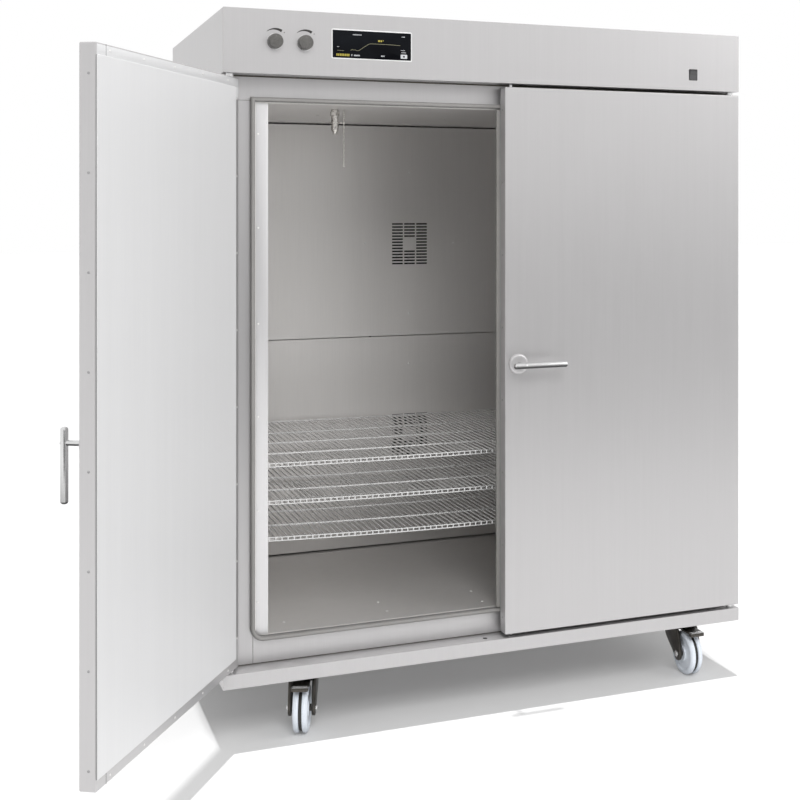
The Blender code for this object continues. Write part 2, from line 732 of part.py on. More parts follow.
def make_hood(steel, dark, glass):
    """Top cover box, the front fascia with its controls, and the controller behind the display."""
    cover_front = FRONT + FASCIA + CLEARANCE
    cover = piece("hood_cover", boxes(((-HALF_WIDTH, cover_front, HOOD_BOTTOM), (HALF_WIDTH, BACK, HOOD_TOP))), steel)
    cut(
        cover,
        boxes(
            (
                (-HALF_WIDTH + SHEET, cover_front - OVERCUT, HOOD_BOTTOM + SHEET),
                (HALF_WIDTH - SHEET, BACK - SHEET, HOOD_TOP - SHEET),
            )
        ),
    )
    duct = EXHAUST_HALF + CLEARANCE
    holes = boxes(
        (
            (EXHAUST_X - duct, EXHAUST_Y - duct, HOOD_BOTTOM - OVERCUT),
            (EXHAUST_X + duct, EXHAUST_Y + duct, HOOD_BOTTOM + OVERCUT),
        )
    )
    add_rod(
        holes,
        (EXHAUST_X, BACK - OVERCUT, KNOB_Z),
        (EXHAUST_X, BACK + OVERCUT, KNOB_Z),
        PIPE_RADIUS + CLEARANCE,
        ROUND_SIDES,
    )
    for side in (-1, 1):
        place = (bolt_x(side), FRONT + BOLT_DEPTH)
        add_rod(holes, (*place, HOOD_BOTTOM - OVERCUT), (*place, HOOD_BOTTOM + OVERCUT), KEEPER_RADIUS)
    cut(cover, holes)

    fascia = piece(
        "control_fascia", boxes(((-HALF_WIDTH, FRONT, HOOD_BOTTOM), (HALF_WIDTH, FRONT + FASCIA, HOOD_TOP))), steel
    )
    display_right = DISPLAY_LEFT + DISPLAY_WIDTH
    display_top = DISPLAY_BOTTOM + DISPLAY_HEIGHT
    half_width = SWITCH_WIDTH / 2
    half_height = SWITCH_HEIGHT / 2
    cutouts = boxes(
        (
            (DISPLAY_LEFT - CLEARANCE, FRONT - OVERCUT, DISPLAY_BOTTOM - CLEARANCE),
            (display_right + CLEARANCE, FRONT + OVERCUT, display_top + CLEARANCE),
        ),
        (
            (SWITCH_X - half_width, FRONT - OVERCUT, SWITCH_Z - half_height),
            (SWITCH_X + half_width, FRONT + OVERCUT, SWITCH_Z + half_height),
        ),
    )
    for across in (FLAP_KNOB_X, SPEED_KNOB_X):
        add_rod(
            cutouts,
            (across, FRONT - OVERCUT, KNOB_Z),
            (across, FRONT + OVERCUT, KNOB_Z),
            FLAP_ROD_RADIUS + CLEARANCE,
        )
    cut(fascia, cutouts)

    piece(
        "touch_display",
        boxes(
            (
                (DISPLAY_LEFT, FRONT - DISPLAY_PROUD, DISPLAY_BOTTOM),
                (display_right, FRONT + DISPLAY_DEPTH, display_top),
            )
        ),
        glass,
    )
    piece(
        "controller_unit",
        boxes(
            (
                (
                    DISPLAY_LEFT + CONTROLLER_MARGIN,
                    FRONT + DISPLAY_DEPTH + CLEARANCE,
                    DISPLAY_BOTTOM + CONTROLLER_MARGIN,
                ),
                (
                    display_right - CONTROLLER_MARGIN,
                    FRONT + DISPLAY_DEPTH + CONTROLLER_DEPTH,
                    display_top - CONTROLLER_MARGIN,
                ),
            )
        ),
        dark,
    )
    for name, across in (("flap_knob", FLAP_KNOB_X), ("fan_speed_knob", SPEED_KNOB_X)):
        outline = [
            (0.0, -KNOB_LENGTH),
            (KNOB_RADIUS - KNOB_EDGE, -KNOB_LENGTH),
            (KNOB_RADIUS, -KNOB_LENGTH + KNOB_EDGE),
            (KNOB_RADIUS, -CLEARANCE),
            (FLAP_ROD_RADIUS, -CLEARANCE),
            (FLAP_ROD_RADIUS, KNOB_SHAFT_REACH),
            (0.0, KNOB_SHAFT_REACH),
        ]
        piece(
            name,
            turned(outline, (0, 0, 0), (0, 1, 0), ROUND_SIDES),
            dark,
            place=(across, FRONT, KNOB_Z),
            smooth=True,
        )

    half_width = SWITCH_WIDTH / 2 - SWITCH_GAP
    half_height = SWITCH_HEIGHT / 2 - SWITCH_GAP
    front = -SWITCH_PIVOT_DEPTH - SWITCH_PROUD
    dish = math.tan(SWITCH_TILT) * half_height
    body = SWITCH_BODY - SWITCH_PIVOT_DEPTH
    rocker_axis = axis_point(
        "switch_axis", (SWITCH_X, FRONT + SWITCH_PIVOT_DEPTH, SWITCH_Z), turn=(SWITCH_TILT, 0, 0)
    )
    side_outline = [
        (front - dish / 2, half_height),
        (front + dish / 2, 0.0),
        (front - dish / 2, -half_height),
        (0.0, -half_height),
        (body, -half_height / 2),
        (body, half_height / 2),
        (0.0, half_height),
    ]
    piece(
        "switch_rocker",
        add_prism(bmesh.new(), side_outline, -half_width, half_width, 0),
        dark,
        parent=rocker_axis,
    )


def make_exhaust(steel):
    """Duct box over the chamber's exhaust hole, a shutter turned by the left knob's rod, and the rear pipe."""
    low = CHAMBER_CEILING + SHEET + CLEARANCE
    box = piece(
        "exhaust_box",
        boxes(
            (
                (EXHAUST_X - EXHAUST_HALF, EXHAUST_Y - EXHAUST_HALF, low),
                (EXHAUST_X + EXHAUST_HALF, EXHAUST_Y + EXHAUST_HALF, EXHAUST_TOP),
            )
        ),
        steel,
    )
    lug_back = EXHAUST_Y + EXHAUST_HALF
    lug_half = PIPE_RADIUS + FLAP_MARGIN
    weld(
        box,
        boxes(
            (
                (FLAP_KNOB_X - LUG_MARGIN, lug_back - LUG_THICKNESS, KNOB_Z - lug_half),
                (EXHAUST_X, lug_back, KNOB_Z + lug_half),
            )
        ),
    )
    inner = EXHAUST_HALF - SHEET
    cut(
        box,
        boxes(
            (
                (EXHAUST_X - inner, EXHAUST_Y - inner, low - OVERCUT),
                (EXHAUST_X + inner, EXHAUST_Y + inner - LUG_THICKNESS, EXHAUST_TOP - SHEET),
            )
        ),
    )
    holes = rod(
        (EXHAUST_X, EXHAUST_Y, KNOB_Z), (EXHAUST_X, lug_back + OVERCUT, KNOB_Z), PIPE_RADIUS - PIPE_WALL, ROUND_SIDES
    )
    add_rod(
        holes,
        (FLAP_KNOB_X, lug_back - OVERCUT, KNOB_Z),
        (FLAP_KNOB_X, lug_back + OVERCUT, KNOB_Z),
        FLAP_ROD_RADIUS + CLEARANCE,
    )
    cut(box, holes)

    pipe_front = FLAP_FACE + FLAP_THICKNESS + CLEARANCE
    pipe_length = BACK + PIPE_STUB - pipe_front
    wall = [
        (PIPE_RADIUS, 0.0),
        (PIPE_RADIUS, pipe_length),
        (PIPE_RADIUS - PIPE_WALL, pipe_length),
        (PIPE_RADIUS - PIPE_WALL, 0.0),
    ]
    piece(
        "exhaust_pipe",
        turned(wall, (EXHAUST_X, pipe_front, KNOB_Z), (0, 1, 0), ROUND_SIDES, closed=True),
        steel,
        smooth=True,
    )

    flap_rear = FLAP_FACE + FLAP_THICKNESS - FRONT
    flap = piece(
        "exhaust_flap",
        rod((0, KNOB_SHAFT_REACH + CLEARANCE, 0), (0, flap_rear, 0), FLAP_ROD_RADIUS),
        steel,
        place=(FLAP_KNOB_X, FRONT, KNOB_Z),
    )
    reach = EXHAUST_OFFSET + lug_half
    weld(
        flap,
        boxes(((-FLAP_ROD_RADIUS, FLAP_FACE - FRONT, -lug_half), (reach, flap_rear, lug_half))),
    )


def make_probe(steel):
    """Sensor gland under the ceiling, with an arm that clamps a thin probe rod beside it."""
    top = CHAMBER_CEILING - CLEARANCE
    place = (PROBE_INSET - CHAMBER_HALF, FRAME_FRONT + PROBE_SETBACK, top)
    tip = PROBE_RADIUS * 0.6
    tip_length = PROBE_RADIUS * 0.7
    outline = [
        (0.0, 0.0),
        (PROBE_RADIUS, 0.0),
        (PROBE_RADIUS, PROBE_COLLAR_DROP),
        (PROBE_COLLAR_RADIUS, PROBE_COLLAR_DROP),
        (PROBE_COLLAR_RADIUS, PROBE_COLLAR_DROP + PROBE_COLLAR),
        (PROBE_RADIUS, PROBE_COLLAR_DROP + PROBE_COLLAR),
        (PROBE_RADIUS, PROBE_LENGTH - tip_length),
        (tip, PROBE_LENGTH - tip_length),
        (tip, PROBE_LENGTH),
        (0.0, PROBE_LENGTH),
    ]
    probe = piece(
        "temperature_probe", turned(outline, (0, 0, 0), (0, 0, -1), SMALL_SIDES), steel, place=place, smooth=True
    )
    arm_low = -PROBE_COLLAR_DROP - PROBE_COLLAR * 0.8
    arm_high = -PROBE_COLLAR_DROP - PROBE_COLLAR * 0.2
    arm_half = PROBE_ARM_WIDTH / 2
    weld(probe, boxes(((0, -arm_half, arm_low), (PROBE_ROD_OFFSET, arm_half, arm_high))))
    weld(probe, rod((PROBE_ROD_OFFSET, 0, 0), (PROBE_ROD_OFFSET, 0, -PROBE_ROD_LENGTH), PROBE_ROD_RADIUS, 8))


def make_hinge_pins(steel):
    """Fixed pins under the hood and on the base, each with a collar that fills the gap to the door."""
    collar = DOOR_GAP - 2 * CLEARANCE
    outline = [
        (0.0, 0.0),
        (HINGE_COLLAR_RADIUS, 0.0),
        (HINGE_COLLAR_RADIUS, collar),
        (HINGE_PIN_RADIUS, collar),
        (HINGE_PIN_RADIUS, collar + HINGE_PIN_REACH),
        (0.0, collar + HINGE_PIN_REACH),
    ]
    for name, side in (("left", -1), ("right", 1)):
        place = (hinge_x(side), FRONT + HINGE_DEPTH)
        bottom = (*place, BODY_BOTTOM + CLEARANCE)
        top = (*place, HOOD_BOTTOM - CLEARANCE)
        piece(f"{name}_bottom_hinge_pin", turned(outline, bottom, (0, 0, 1), SMALL_SIDES), steel, smooth=True)
        piece(f"{name}_top_hinge_pin", turned(outline, top, (0, 0, -1), SMALL_SIDES), steel, smooth=True)


def make_door(name, side, rest_turn, lever_z, lever_turn, bolts_out, steel, polished, wool):
    """One door: outer skin tray, insulation core, raised inner panel, lever, rosette and two bolts.

    The pieces are given as if the door were shut, about the hinge axis, and the axis is turned to rest.
    """
    pivot = Vector((hinge_x(side), FRONT + HINGE_DEPTH, 0))
    hinge = axis_point(f"{name}_door_axis", pivot, turn=(0, 0, rest_turn))
    free_edge = LEFT_FREE_EDGE if side < 0 else RIGHT_FREE_EDGE

    def door_box(near, far, front, back, low, high):
        left, right = between(side, near, far)
        return (
            Vector((left, FRONT + front, low)) - pivot,
            Vector((right, FRONT + back, high)) - pivot,
        )

    def inset_box(inset, front, back):
        return door_box(
            free_edge + inset, HALF_WIDTH - inset, front, back, DOOR_BOTTOM + inset, DOOR_TOP - inset
        )

    def liner_box(inset, front, back):
        return door_box(
            free_edge + LINER_FREE_INSET + inset,
            HALF_WIDTH - LINER_HINGE_INSET - inset,
            front,
            back,
            DOOR_BOTTOM + LINER_END_INSET + inset,
            DOOR_TOP - LINER_END_INSET - inset,
        )

    bolt_place = Vector((bolt_x(side), FRONT + BOLT_DEPTH, 0)) - pivot
    lever_place = Vector((side * (free_edge + LEVER_INSET), FRONT, lever_z)) - pivot

    skin = piece(f"{name}_door_skin", boxes(inset_box(0.0, 0.0, DOOR_EDGE)), steel, parent=hinge)
    cut(skin, boxes(inset_box(SHEET, SHEET, DOOR_EDGE - SHEET)))
    cut(skin, boxes(inset_box(DOOR_BORDER, DOOR_EDGE - SHEET * 2, DOOR_EDGE + OVERCUT)))
    holes = rod(
        lever_place - Vector((0, OVERCUT, 0)), lever_place + Vector((0, OVERCUT, 0)), STEM_RADIUS + CLEARANCE
    )
    for edge_z in (DOOR_BOTTOM, DOOR_TOP):
        for place, radius in ((bolt_place, BOLT_RADIUS), (Vector((0, 0, 0)), HINGE_PIN_RADIUS)):
            middle = place + Vector((0, 0, edge_z))
            reach = Vector((0, 0, SHEET * 2))
            add_rod(holes, middle - reach, middle + reach, radius + CLEARANCE)
    cut(skin, holes)

    gap = SHEET + CLEARANCE
    core = piece(
        f"{name}_door_core",
        boxes(
            door_box(
                free_edge + gap,
                HALF_WIDTH - gap,
                gap,
                DOOR_EDGE - gap,
                DOOR_BOTTOM + CORE_END_GAP,
                DOOR_TOP - CORE_END_GAP,
            )
        ),
        wool,
        parent=hinge,
    )
    channel_start = BOLT_OFFSET - BOLT_RADIUS * 2
    cut(
        core,
        boxes(
            door_box(
                channel_start, channel_start + CHANNEL_WIDTH, CHANNEL_WALL, DOOR_EDGE, DOOR_BOTTOM, DOOR_TOP
            )
        ),
    )
    bore = lever_place - Vector((0, OVERCUT, 0))
    cut(core, rod(bore, bore + Vector((0, DOOR_EDGE, 0)), STEM_RADIUS + CLEARANCE))

    panel = piece(
        f"{name}_door_liner",
        boxes(liner_box(0.0, DOOR_EDGE + CLEARANCE, DOOR_EDGE + LINER_RISE)),
        polished,
        parent=hinge,
    )
    cut(panel, boxes(liner_box(SHEET, DOOR_EDGE - OVERCUT, DOOR_EDGE + LINER_RISE - SHEET)))

    lever_axis = axis_point(f"{name}_lever_axis", lever_place, parent=hinge, turn=(0, lever_turn, 0))
    bar_start = Vector((-side * LEVER_TAIL, -LEVER_STANDOFF, 0))
    bar_end = Vector((side * (LEVER_LENGTH - LEVER_TAIL), -LEVER_STANDOFF, 0))
    lever = piece(f"{name}_lever", rod(bar_start, bar_end, LEVER_RADIUS), polished, parent=lever_axis, smooth=True)
    weld(lever, rod((0, -LEVER_STANDOFF, 0), (0, STEM_REACH, 0), STEM_RADIUS))
    rosette = [
        (ROSETTE_RADIUS, -CLEARANCE),
        (ROSETTE_RADIUS, -ROSETTE_THICKNESS),
        (STEM_RADIUS + CLEARANCE, -ROSETTE_THICKNESS),
        (STEM_RADIUS + CLEARANCE, -CLEARANCE),
    ]
    piece(
        f"{name}_lever_rosette",
        turned(rosette, lever_place, (0, 1, 0), ROUND_SIDES, closed=True),
        polished,
        parent=hinge,
        smooth=True,
    )

    extension = BOLT_TRAVEL if bolts_out else 0.0
    top_end = DOOR_TOP + extension - CLEARANCE
    bottom_end = DOOR_BOTTOM - extension + CLEARANCE
    top_start = lever_z + BOLT_START
    bottom_start = lever_z - BOLT_START
    piece(
        f"{name}_top_bolt",
        rod((0, 0, 0), (0, 0, top_end - top_start), BOLT_RADIUS),
        polished,
        parent=hinge,
        place=bolt_place + Vector((0, 0, top_start)),
        smooth=True,
    )
    piece(
        f"{name}_bottom_bolt",
        rod((0, 0, 0), (0, 0, bottom_end - bottom_start), BOLT_RADIUS),
        polished,
        parent=hinge,
        place=bolt_place + Vector((0, 0, bottom_start)),
        smooth=True,
    )
    return hinge, door_box


def make_centre_seal(hinge, door_box, rubber):
    """Rubber strip on the right door's inner panel, past its free edge, between the gasket's upper and lower runs."""
    piece(
        "centre_seal",
        boxes(
            door_box(
                RIGHT_FREE_EDGE - CENTRE_SEAL_LAP,
                RIGHT_FREE_EDGE - CENTRE_SEAL_LAP + CENTRE_SEAL_WIDTH,
                DOOR_EDGE + LINER_RISE + CLEARANCE,
                DOOR_EDGE + LINER_RISE + CENTRE_SEAL_RISE,
                CHAMBER_FLOOR + CLEARANCE,
                CHAMBER_CEILING - CLEARANCE,
            )
        ),
        rubber,
        parent=hinge,
    )


def make_castor(name, place, turn, braked, steel, nylon):
    """Swivel castor: fork with its head, crown, rear web, legs and axle, a grooved wheel, and a pedal if braked."""
    swivel = axis_point(f"{name}_swivel", (*place, 0), turn=(0, 0, turn))
    leg_outer = LEG_INNER + LEG_THICKNESS
    leg_top = CROWN_BOTTOM + CROWN_THICKNESS / 2
    shoulder = CROWN_BOTTOM - LEG_SHOULDER_DROP
    foot = AXLE_Z - LEG_FOOT_HALF
    leg_outline = [
        (LEG_TOP_HALF, leg_top),
        (-LEG_TOP_HALF, leg_top),
        (-CASTOR_TRAIL - LEG_FOOT_HALF, AXLE_Z),
        (-CASTOR_TRAIL - LEG_FOOT_HALF / 2, foot),
        (-CASTOR_TRAIL + LEG_FOOT_HALF / 2, foot),
        (-CASTOR_TRAIL + LEG_FOOT_HALF, AXLE_Z - LEG_FOOT_HALF / 4),
        (LEG_TOP_HALF, shoulder),
    ]
    legs = bmesh.new()
    for side in (-1, 1):
        inner, outer = between(side, LEG_INNER, leg_outer)
        add_prism(legs, leg_outline, inner, outer, 0)
    fork = piece(f"{name}_castor_fork", legs, steel, parent=swivel)
    weld(
        fork,
        boxes(
            (
                (-leg_outer + CLEARANCE, -LEG_TOP_HALF + CLEARANCE, CROWN_BOTTOM),
                (leg_outer - CLEARANCE, LEG_TOP_HALF - CLEARANCE, HEAD_BOTTOM),
            )
        ),
    )
    weld(
        fork,
        boxes(
            (
                (-leg_outer + CLEARANCE, LEG_TOP_HALF - WEB_THICKNESS, shoulder + CLEARANCE),
                (leg_outer - CLEARANCE, LEG_TOP_HALF - 2 * CLEARANCE, CROWN_BOTTOM + CROWN_THICKNESS / 3),
            )
        ),
    )
    weld(
        fork,
        rod((0, 0, HEAD_BOTTOM - CROWN_THICKNESS / 3), (0, 0, CASTOR_HEIGHT - CLEARANCE), HEAD_RADIUS, ROUND_SIDES),
    )
    axle_end = leg_outer + AXLE_STUB
    weld(fork, rod((-axle_end, -CASTOR_TRAIL, AXLE_Z), (axle_end, -CASTOR_TRAIL, AXLE_Z), AXLE_RADIUS))

    half = WHEEL_WIDTH / 2
    groove = WHEEL_GROOVE_WIDTH / 2
    bore = AXLE_RADIUS + CLEARANCE
    tread = WHEEL_RADIUS - WHEEL_GROOVE_DEPTH
    outline = [
        (bore, -half),
        (WHEEL_RADIUS - WHEEL_EDGE, -half),
        (WHEEL_RADIUS, -half + WHEEL_EDGE),
        (WHEEL_RADIUS, -groove),
        (tread, -groove),
        (tread, groove),
        (WHEEL_RADIUS, groove),
        (WHEEL_RADIUS, half - WHEEL_EDGE),
        (WHEEL_RADIUS - WHEEL_EDGE, half),
        (bore, half),
    ]
    half_step = math.pi / WHEEL_SIDES
    first = (0, math.sin(half_step), -math.cos(half_step))
    piece(
        f"{name}_castor_wheel",
        turned(outline, (0, 0, 0), (1, 0, 0), WHEEL_SIDES, first=first, closed=True),
        nylon,
        parent=swivel,
        place=(0, -CASTOR_TRAIL, AXLE_Z),
        smooth=True,
    )
    if braked:
        hub_half = LEG_INNER - CLEARANCE
        pedal = piece(
            f"{name}_brake_pedal",
            rod((-hub_half, 0, 0), (hub_half, 0, 0), PEDAL_HUB_RADIUS, 12),
            steel,
            parent=swivel,
            place=(0, -PEDAL_PIVOT_OUT, CROWN_BOTTOM - PEDAL_PIVOT_DROP),
        )
        half_plate = PEDAL_THICKNESS / 2
        weld(pedal, boxes(((-PEDAL_HALF_WIDTH, -PEDAL_REACH, -half_plate), (PEDAL_HALF_WIDTH, 0, half_plate))))
        end_start = -PEDAL_REACH + PEDAL_END_LENGTH
        weld(
            pedal,
            boxes(
                (
                    (-PEDAL_END_HALF, -PEDAL_REACH - CLEARANCE, -half_plate - PEDAL_END_DROP),
                    (PEDAL_END_HALF, end_start, half_plate + CLEARANCE),
                )
            ),
        )


def main():
    clear_scene()
    steel = finish("brushed_steel", (0.58, 0.58, 0.58), 0.38, 1.0)
    polished = finish("polished_steel", (0.66, 0.66, 0.67), 0.22, 1.0)
    wire = finish("shelf_wire", (0.70, 0.70, 0.70), 0.25, 1.0)
    dark = finish("dark_grey", (0.11, 0.11, 0.11), 0.45, 0.2)
    glass = finish("black_glass", (0.01, 0.01, 0.012), 0.08, 0.0)
    rubber = finish("seal_rubber", (0.08, 0.08, 0.08), 0.70, 0.0)
    wool = finish("mineral_wool", (0.55, 0.50, 0.36), 0.95, 0.0)
    nylon = finish("wheel_nylon", (0.66, 0.72, 0.80), 0.40, 0.0)

    make_base(steel)
    make_shell(steel, wool)
    make_chamber(steel, rubber)
    make_air_circulation(steel, dark)
    make_shelves(steel, wire)
    make_hood(steel, dark, glass)
    make_exhaust(steel)
    make_probe(steel)
    make_hinge_pins(polished)
    quarter = math.pi / 2
    make_door("left", -1, -LEFT_DOOR_OPEN, LEFT_LEVER_Z, -quarter, False, steel, polished, wool)
    right_hinge, right_box = make_door("right", 1, 0.0, RIGHT_LEVER_Z, 0.0, True, steel, polished, wool)
    make_centre_seal(right_hinge, right_box, rubber)
    for row, depth in (("front", FRONT + CASTOR_INSET), ("rear", BACK - CASTOR_INSET)):
        for column, across in (("left", CASTOR_LEFT_X), ("right", CASTOR_RIGHT_X)):
            name = f"{row}_{column}"
            make_castor(name, (across, depth), CASTOR_TURNS[name], row == "front", dark, nylon)


main()
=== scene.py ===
"""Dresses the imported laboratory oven: steel shell, chamber with wire shelves, doors, hood and castors."""

import json
import math

import bmesh
import bpy
import mathutils
import numpy as np
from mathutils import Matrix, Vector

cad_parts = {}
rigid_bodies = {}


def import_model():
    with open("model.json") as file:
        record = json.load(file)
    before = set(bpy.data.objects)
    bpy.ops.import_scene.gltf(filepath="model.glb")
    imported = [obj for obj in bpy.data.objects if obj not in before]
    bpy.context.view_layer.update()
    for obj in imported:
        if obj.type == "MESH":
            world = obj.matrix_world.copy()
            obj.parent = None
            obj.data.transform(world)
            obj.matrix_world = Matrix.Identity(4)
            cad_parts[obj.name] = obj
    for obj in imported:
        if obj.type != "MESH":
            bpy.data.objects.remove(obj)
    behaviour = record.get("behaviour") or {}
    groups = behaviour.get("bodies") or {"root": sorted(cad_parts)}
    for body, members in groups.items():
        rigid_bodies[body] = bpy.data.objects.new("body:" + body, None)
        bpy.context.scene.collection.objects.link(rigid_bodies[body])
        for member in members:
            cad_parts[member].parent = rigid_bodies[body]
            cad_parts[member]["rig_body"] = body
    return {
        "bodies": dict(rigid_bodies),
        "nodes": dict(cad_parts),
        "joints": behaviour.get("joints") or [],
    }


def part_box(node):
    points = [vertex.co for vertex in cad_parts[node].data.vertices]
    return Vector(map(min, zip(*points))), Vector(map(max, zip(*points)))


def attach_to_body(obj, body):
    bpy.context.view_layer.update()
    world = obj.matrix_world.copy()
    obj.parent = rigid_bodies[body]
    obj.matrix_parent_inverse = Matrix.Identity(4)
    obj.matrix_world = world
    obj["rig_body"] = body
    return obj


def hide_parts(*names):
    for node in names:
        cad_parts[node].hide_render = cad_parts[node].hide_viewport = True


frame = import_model()
node = frame["nodes"]
joint = {made["name"]: made for made in frame["joints"]}
loaded = {thing.name for thing in (*node.values(), *frame["bodies"].values())}
for thing in list(bpy.data.objects):
    if thing.name not in loaded:
        bpy.data.objects.remove(thing)
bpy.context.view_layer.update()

# Base tray
# A tray folded from stainless sheet, open side down, with a thick pad in each corner for a castor.
# It carries the whole cabinet, and its outer edges are eased a little.
BASE_EDGE = 0.0009
SHARP_EDGE = math.radians(60)
WELD_GAP = 1e-5
SHELL_STEEL = (0.522, 0.513, 0.516)
SHEET_GRAIN = (420.0, 420.0, 5.0)
NOISE_RANGE = (0.3, 0.7)
WHITE = (1.0, 1.0, 1.0)
DRIFT_SHADE = (0.985, 0.985, 0.985)
CLOUD_STRETCH = (1.6, 1.6, 1.1)
CLOUD_DETAIL = 2.0
BROAD_STREAK = 9
STEEL_GLOSS_SPREAD = 0.03
STEEL_BUMP = 0.03
STEEL_BUMP_DEPTH = 0.0004


def start_material(name):
    """A new material, with its shader and the piece's own Object coordinates."""
    material = bpy.data.materials.new(name)
    material.use_nodes = True
    tree = material.node_tree
    place = tree.nodes.new("ShaderNodeTexCoord").outputs["Object"]
    return material, tree, tree.nodes["Principled BSDF"], place


def noise(tree, place, stretch, detail=3.0):
    """Noise whose cells measure 1 / stretch metres along each axis."""
    mapping = tree.nodes.new("ShaderNodeMapping")
    mapping.inputs["Scale"].default_value = stretch
    tree.links.new(place, mapping.inputs["Vector"])
    made = tree.nodes.new("ShaderNodeTexNoise")
    made.inputs["Scale"].default_value = 1.0
    made.inputs["Detail"].default_value = detail
    tree.links.new(mapping.outputs["Vector"], made.inputs["Vector"])
    return made.outputs["Fac"]


def spread(tree, value, taken, given):
    """Carries a value from one range (low, high) on to another."""
    made = tree.nodes.new("ShaderNodeMapRange")
    for end, number in zip(("From Min", "From Max", "To Min", "To Max"), (*taken, *given)):
        made.inputs[end].default_value = number
    tree.links.new(value, made.inputs["Value"])
    return made.outputs["Result"]


def vary_gloss(tree, shader, value, low, high):
    """Runs the shader's roughness from low to high over the usual range of a noise value."""
    tree.links.new(spread(tree, value, NOISE_RANGE, (low, high)), shader.inputs["Roughness"])


def tint(tree, value, dark, light):
    """A colour that runs from dark to light over the usual range of a noise value."""
    ramp = tree.nodes.new("ShaderNodeValToRGB")
    for end, place, colour in zip(ramp.color_ramp.elements, NOISE_RANGE, (dark, light)):
        end.position = place
        end.color = (*colour, 1.0)
    tree.links.new(value, ramp.inputs["Fac"])
    return ramp.outputs["Color"]


def times(tree, first, second):
    """The product of two colours."""
    mix = tree.nodes.new("ShaderNodeMix")
    mix.data_type = "RGBA"
    mix.blend_type = "MULTIPLY"
    mix.inputs[0].default_value = 1.0
    tree.links.new(first, mix.inputs[6])
    tree.links.new(second, mix.inputs[7])
    return mix.outputs[2]


def roughen(tree, shader, height, strength, distance):
    """A bump on the shader's normal from a noise height."""
    bump = tree.nodes.new("ShaderNodeBump")
    bump.inputs["Strength"].default_value = strength
    bump.inputs["Distance"].default_value = distance
    tree.links.new(height, bump.inputs["Height"])
    tree.links.new(bump.outputs["Normal"], shader.inputs["Normal"])


def shade(colour, share):
    """A colour made lighter or darker by a share of itself."""
    return [min(part * (1 + share), 1.0) for part in colour]


def ground_steel(name, colour, metallic, roughness, grain, contrast):
    """Ground sheet steel: fine streaks along the grain over slow clouds, with a bump from the streaks."""
    material, tree, shader, place = start_material(name)
    streaks = noise(tree, place, grain)
    broad = noise(tree, place, [part / BROAD_STREAK for part in grain], CLOUD_DETAIL)
    clouds = noise(tree, place, CLOUD_STRETCH, CLOUD_DETAIL)
    fine = tint(tree, streaks, shade(colour, -contrast), shade(colour, contrast))
    drift = times(tree, tint(tree, clouds, DRIFT_SHADE, WHITE), tint(tree, broad, DRIFT_SHADE, WHITE))
    tree.links.new(times(tree, fine, drift), shader.inputs["Base Color"])
    vary_gloss(tree, shader, streaks, roughness - STEEL_GLOSS_SPREAD, roughness + STEEL_GLOSS_SPREAD)
    shader.inputs["Metallic"].default_value = metallic
    roughen(tree, shader, streaks, STEEL_BUMP, STEEL_BUMP_DEPTH)
    return material


def paint(material, *names):
    """Gives the CAD nodes that stay in view a finish."""
    for name in names:
        node[name].data.materials.clear()
        node[name].data.materials.append(material)


def ease_edges(name, width):
    """Breaks the sharp edges of a CAD node that stays in view: its triangles are welded, then bevelled."""
    weld = node[name].modifiers.new("weld", "WELD")
    weld.merge_threshold = WELD_GAP
    bevel = node[name].modifiers.new("edges", "BEVEL")
    bevel.width = width
    bevel.segments = 2
    bevel.limit_method = "ANGLE"
    bevel.angle_limit = SHARP_EDGE


shell_steel = ground_steel(
    "brushed_shell_steel", SHELL_STEEL, metallic=0.62, roughness=0.34, grain=SHEET_GRAIN, contrast=0.014
)
paint(shell_steel, "base_frame")
ease_edges("base_frame", BASE_EDGE)

# Castors
# Swivel castors with a pressed dark stainless fork, a nylon wheel with two treads, and a bolted top plate.
# The wheels turn on a bolt through the fork's legs.
CASTORS = ("front_left", "front_right", "rear_left", "rear_right")
RIGHT = np.array((1.0, 0.0, 0.0))
BACK = np.array((0.0, 1.0, 0.0))
UP = np.array((0.0, 0.0, 1.0))
MERGE_GAP = 1e-6
WHEEL_SIDES = 56
WHEEL_HALF_SECTION = (
    (0.0042, 0.0550), (0.0046, 0.0598), (0.0064, 0.0619), (0.0100, 0.0624), (0.0138, 0.0617),
    (0.0172, 0.0594), (0.0192, 0.0560), (0.0198, 0.0520), (0.0190, 0.0490), (0.0160, 0.0466),
    (0.0155, 0.0240), (0.0170, 0.0216), (0.0198, 0.0200), (0.0198, 0.0056),
)
WHEEL_CORE = ((-0.0043, 0.0300), (-0.0043, 0.0572), (0.0043, 0.0572), (0.0043, 0.0300))
LEG_OUTLINE = (
    (-0.038, 0.144), (-0.038, 0.105), (0.020, 0.0575), (0.030, 0.0425), (0.050, 0.0425), (0.060, 0.0625),
    (0.038, 0.144),
)
LEG_OUTER = 0.0360
LEG_RIM = (0.0260, LEG_OUTER, 0.0030)
CORNER_CUT = 0.2
WEB = (-0.0280, 0.0280, 0.1065, 0.1430, 0.003)
WEB_RIM = (0.0340, 0.0378, 0.001)
AXLE_RADIUS = 0.005
AXLE_SPACER = (0.0200, 0.0262, 0.0095)
CROWN = (-0.038, 0.038, -LEG_OUTER, LEG_OUTER, 0.006)
CROWN_HIGH = 0.147
CROWN_RIM = (0.141, CROWN_HIGH, 0.0015)
HEAD_SECTION = (
    (0.0, 0.0), (0.0, 0.0380), (0.0020, 0.0398), (0.0050, 0.0410), (0.0080, 0.0410), (0.0095, 0.0390),
    (0.0110, 0.0390), (0.0125, 0.0400), (0.0140, 0.0400), (0.0140, 0.0),
)
TOP_PLATE = (-0.048, 0.048, -0.042, 0.042, 0.008)
TOP_PLATE_LOW = 0.1612
TOP_PLATE_RIM = (TOP_PLATE_LOW, 0.165, 0.0008)
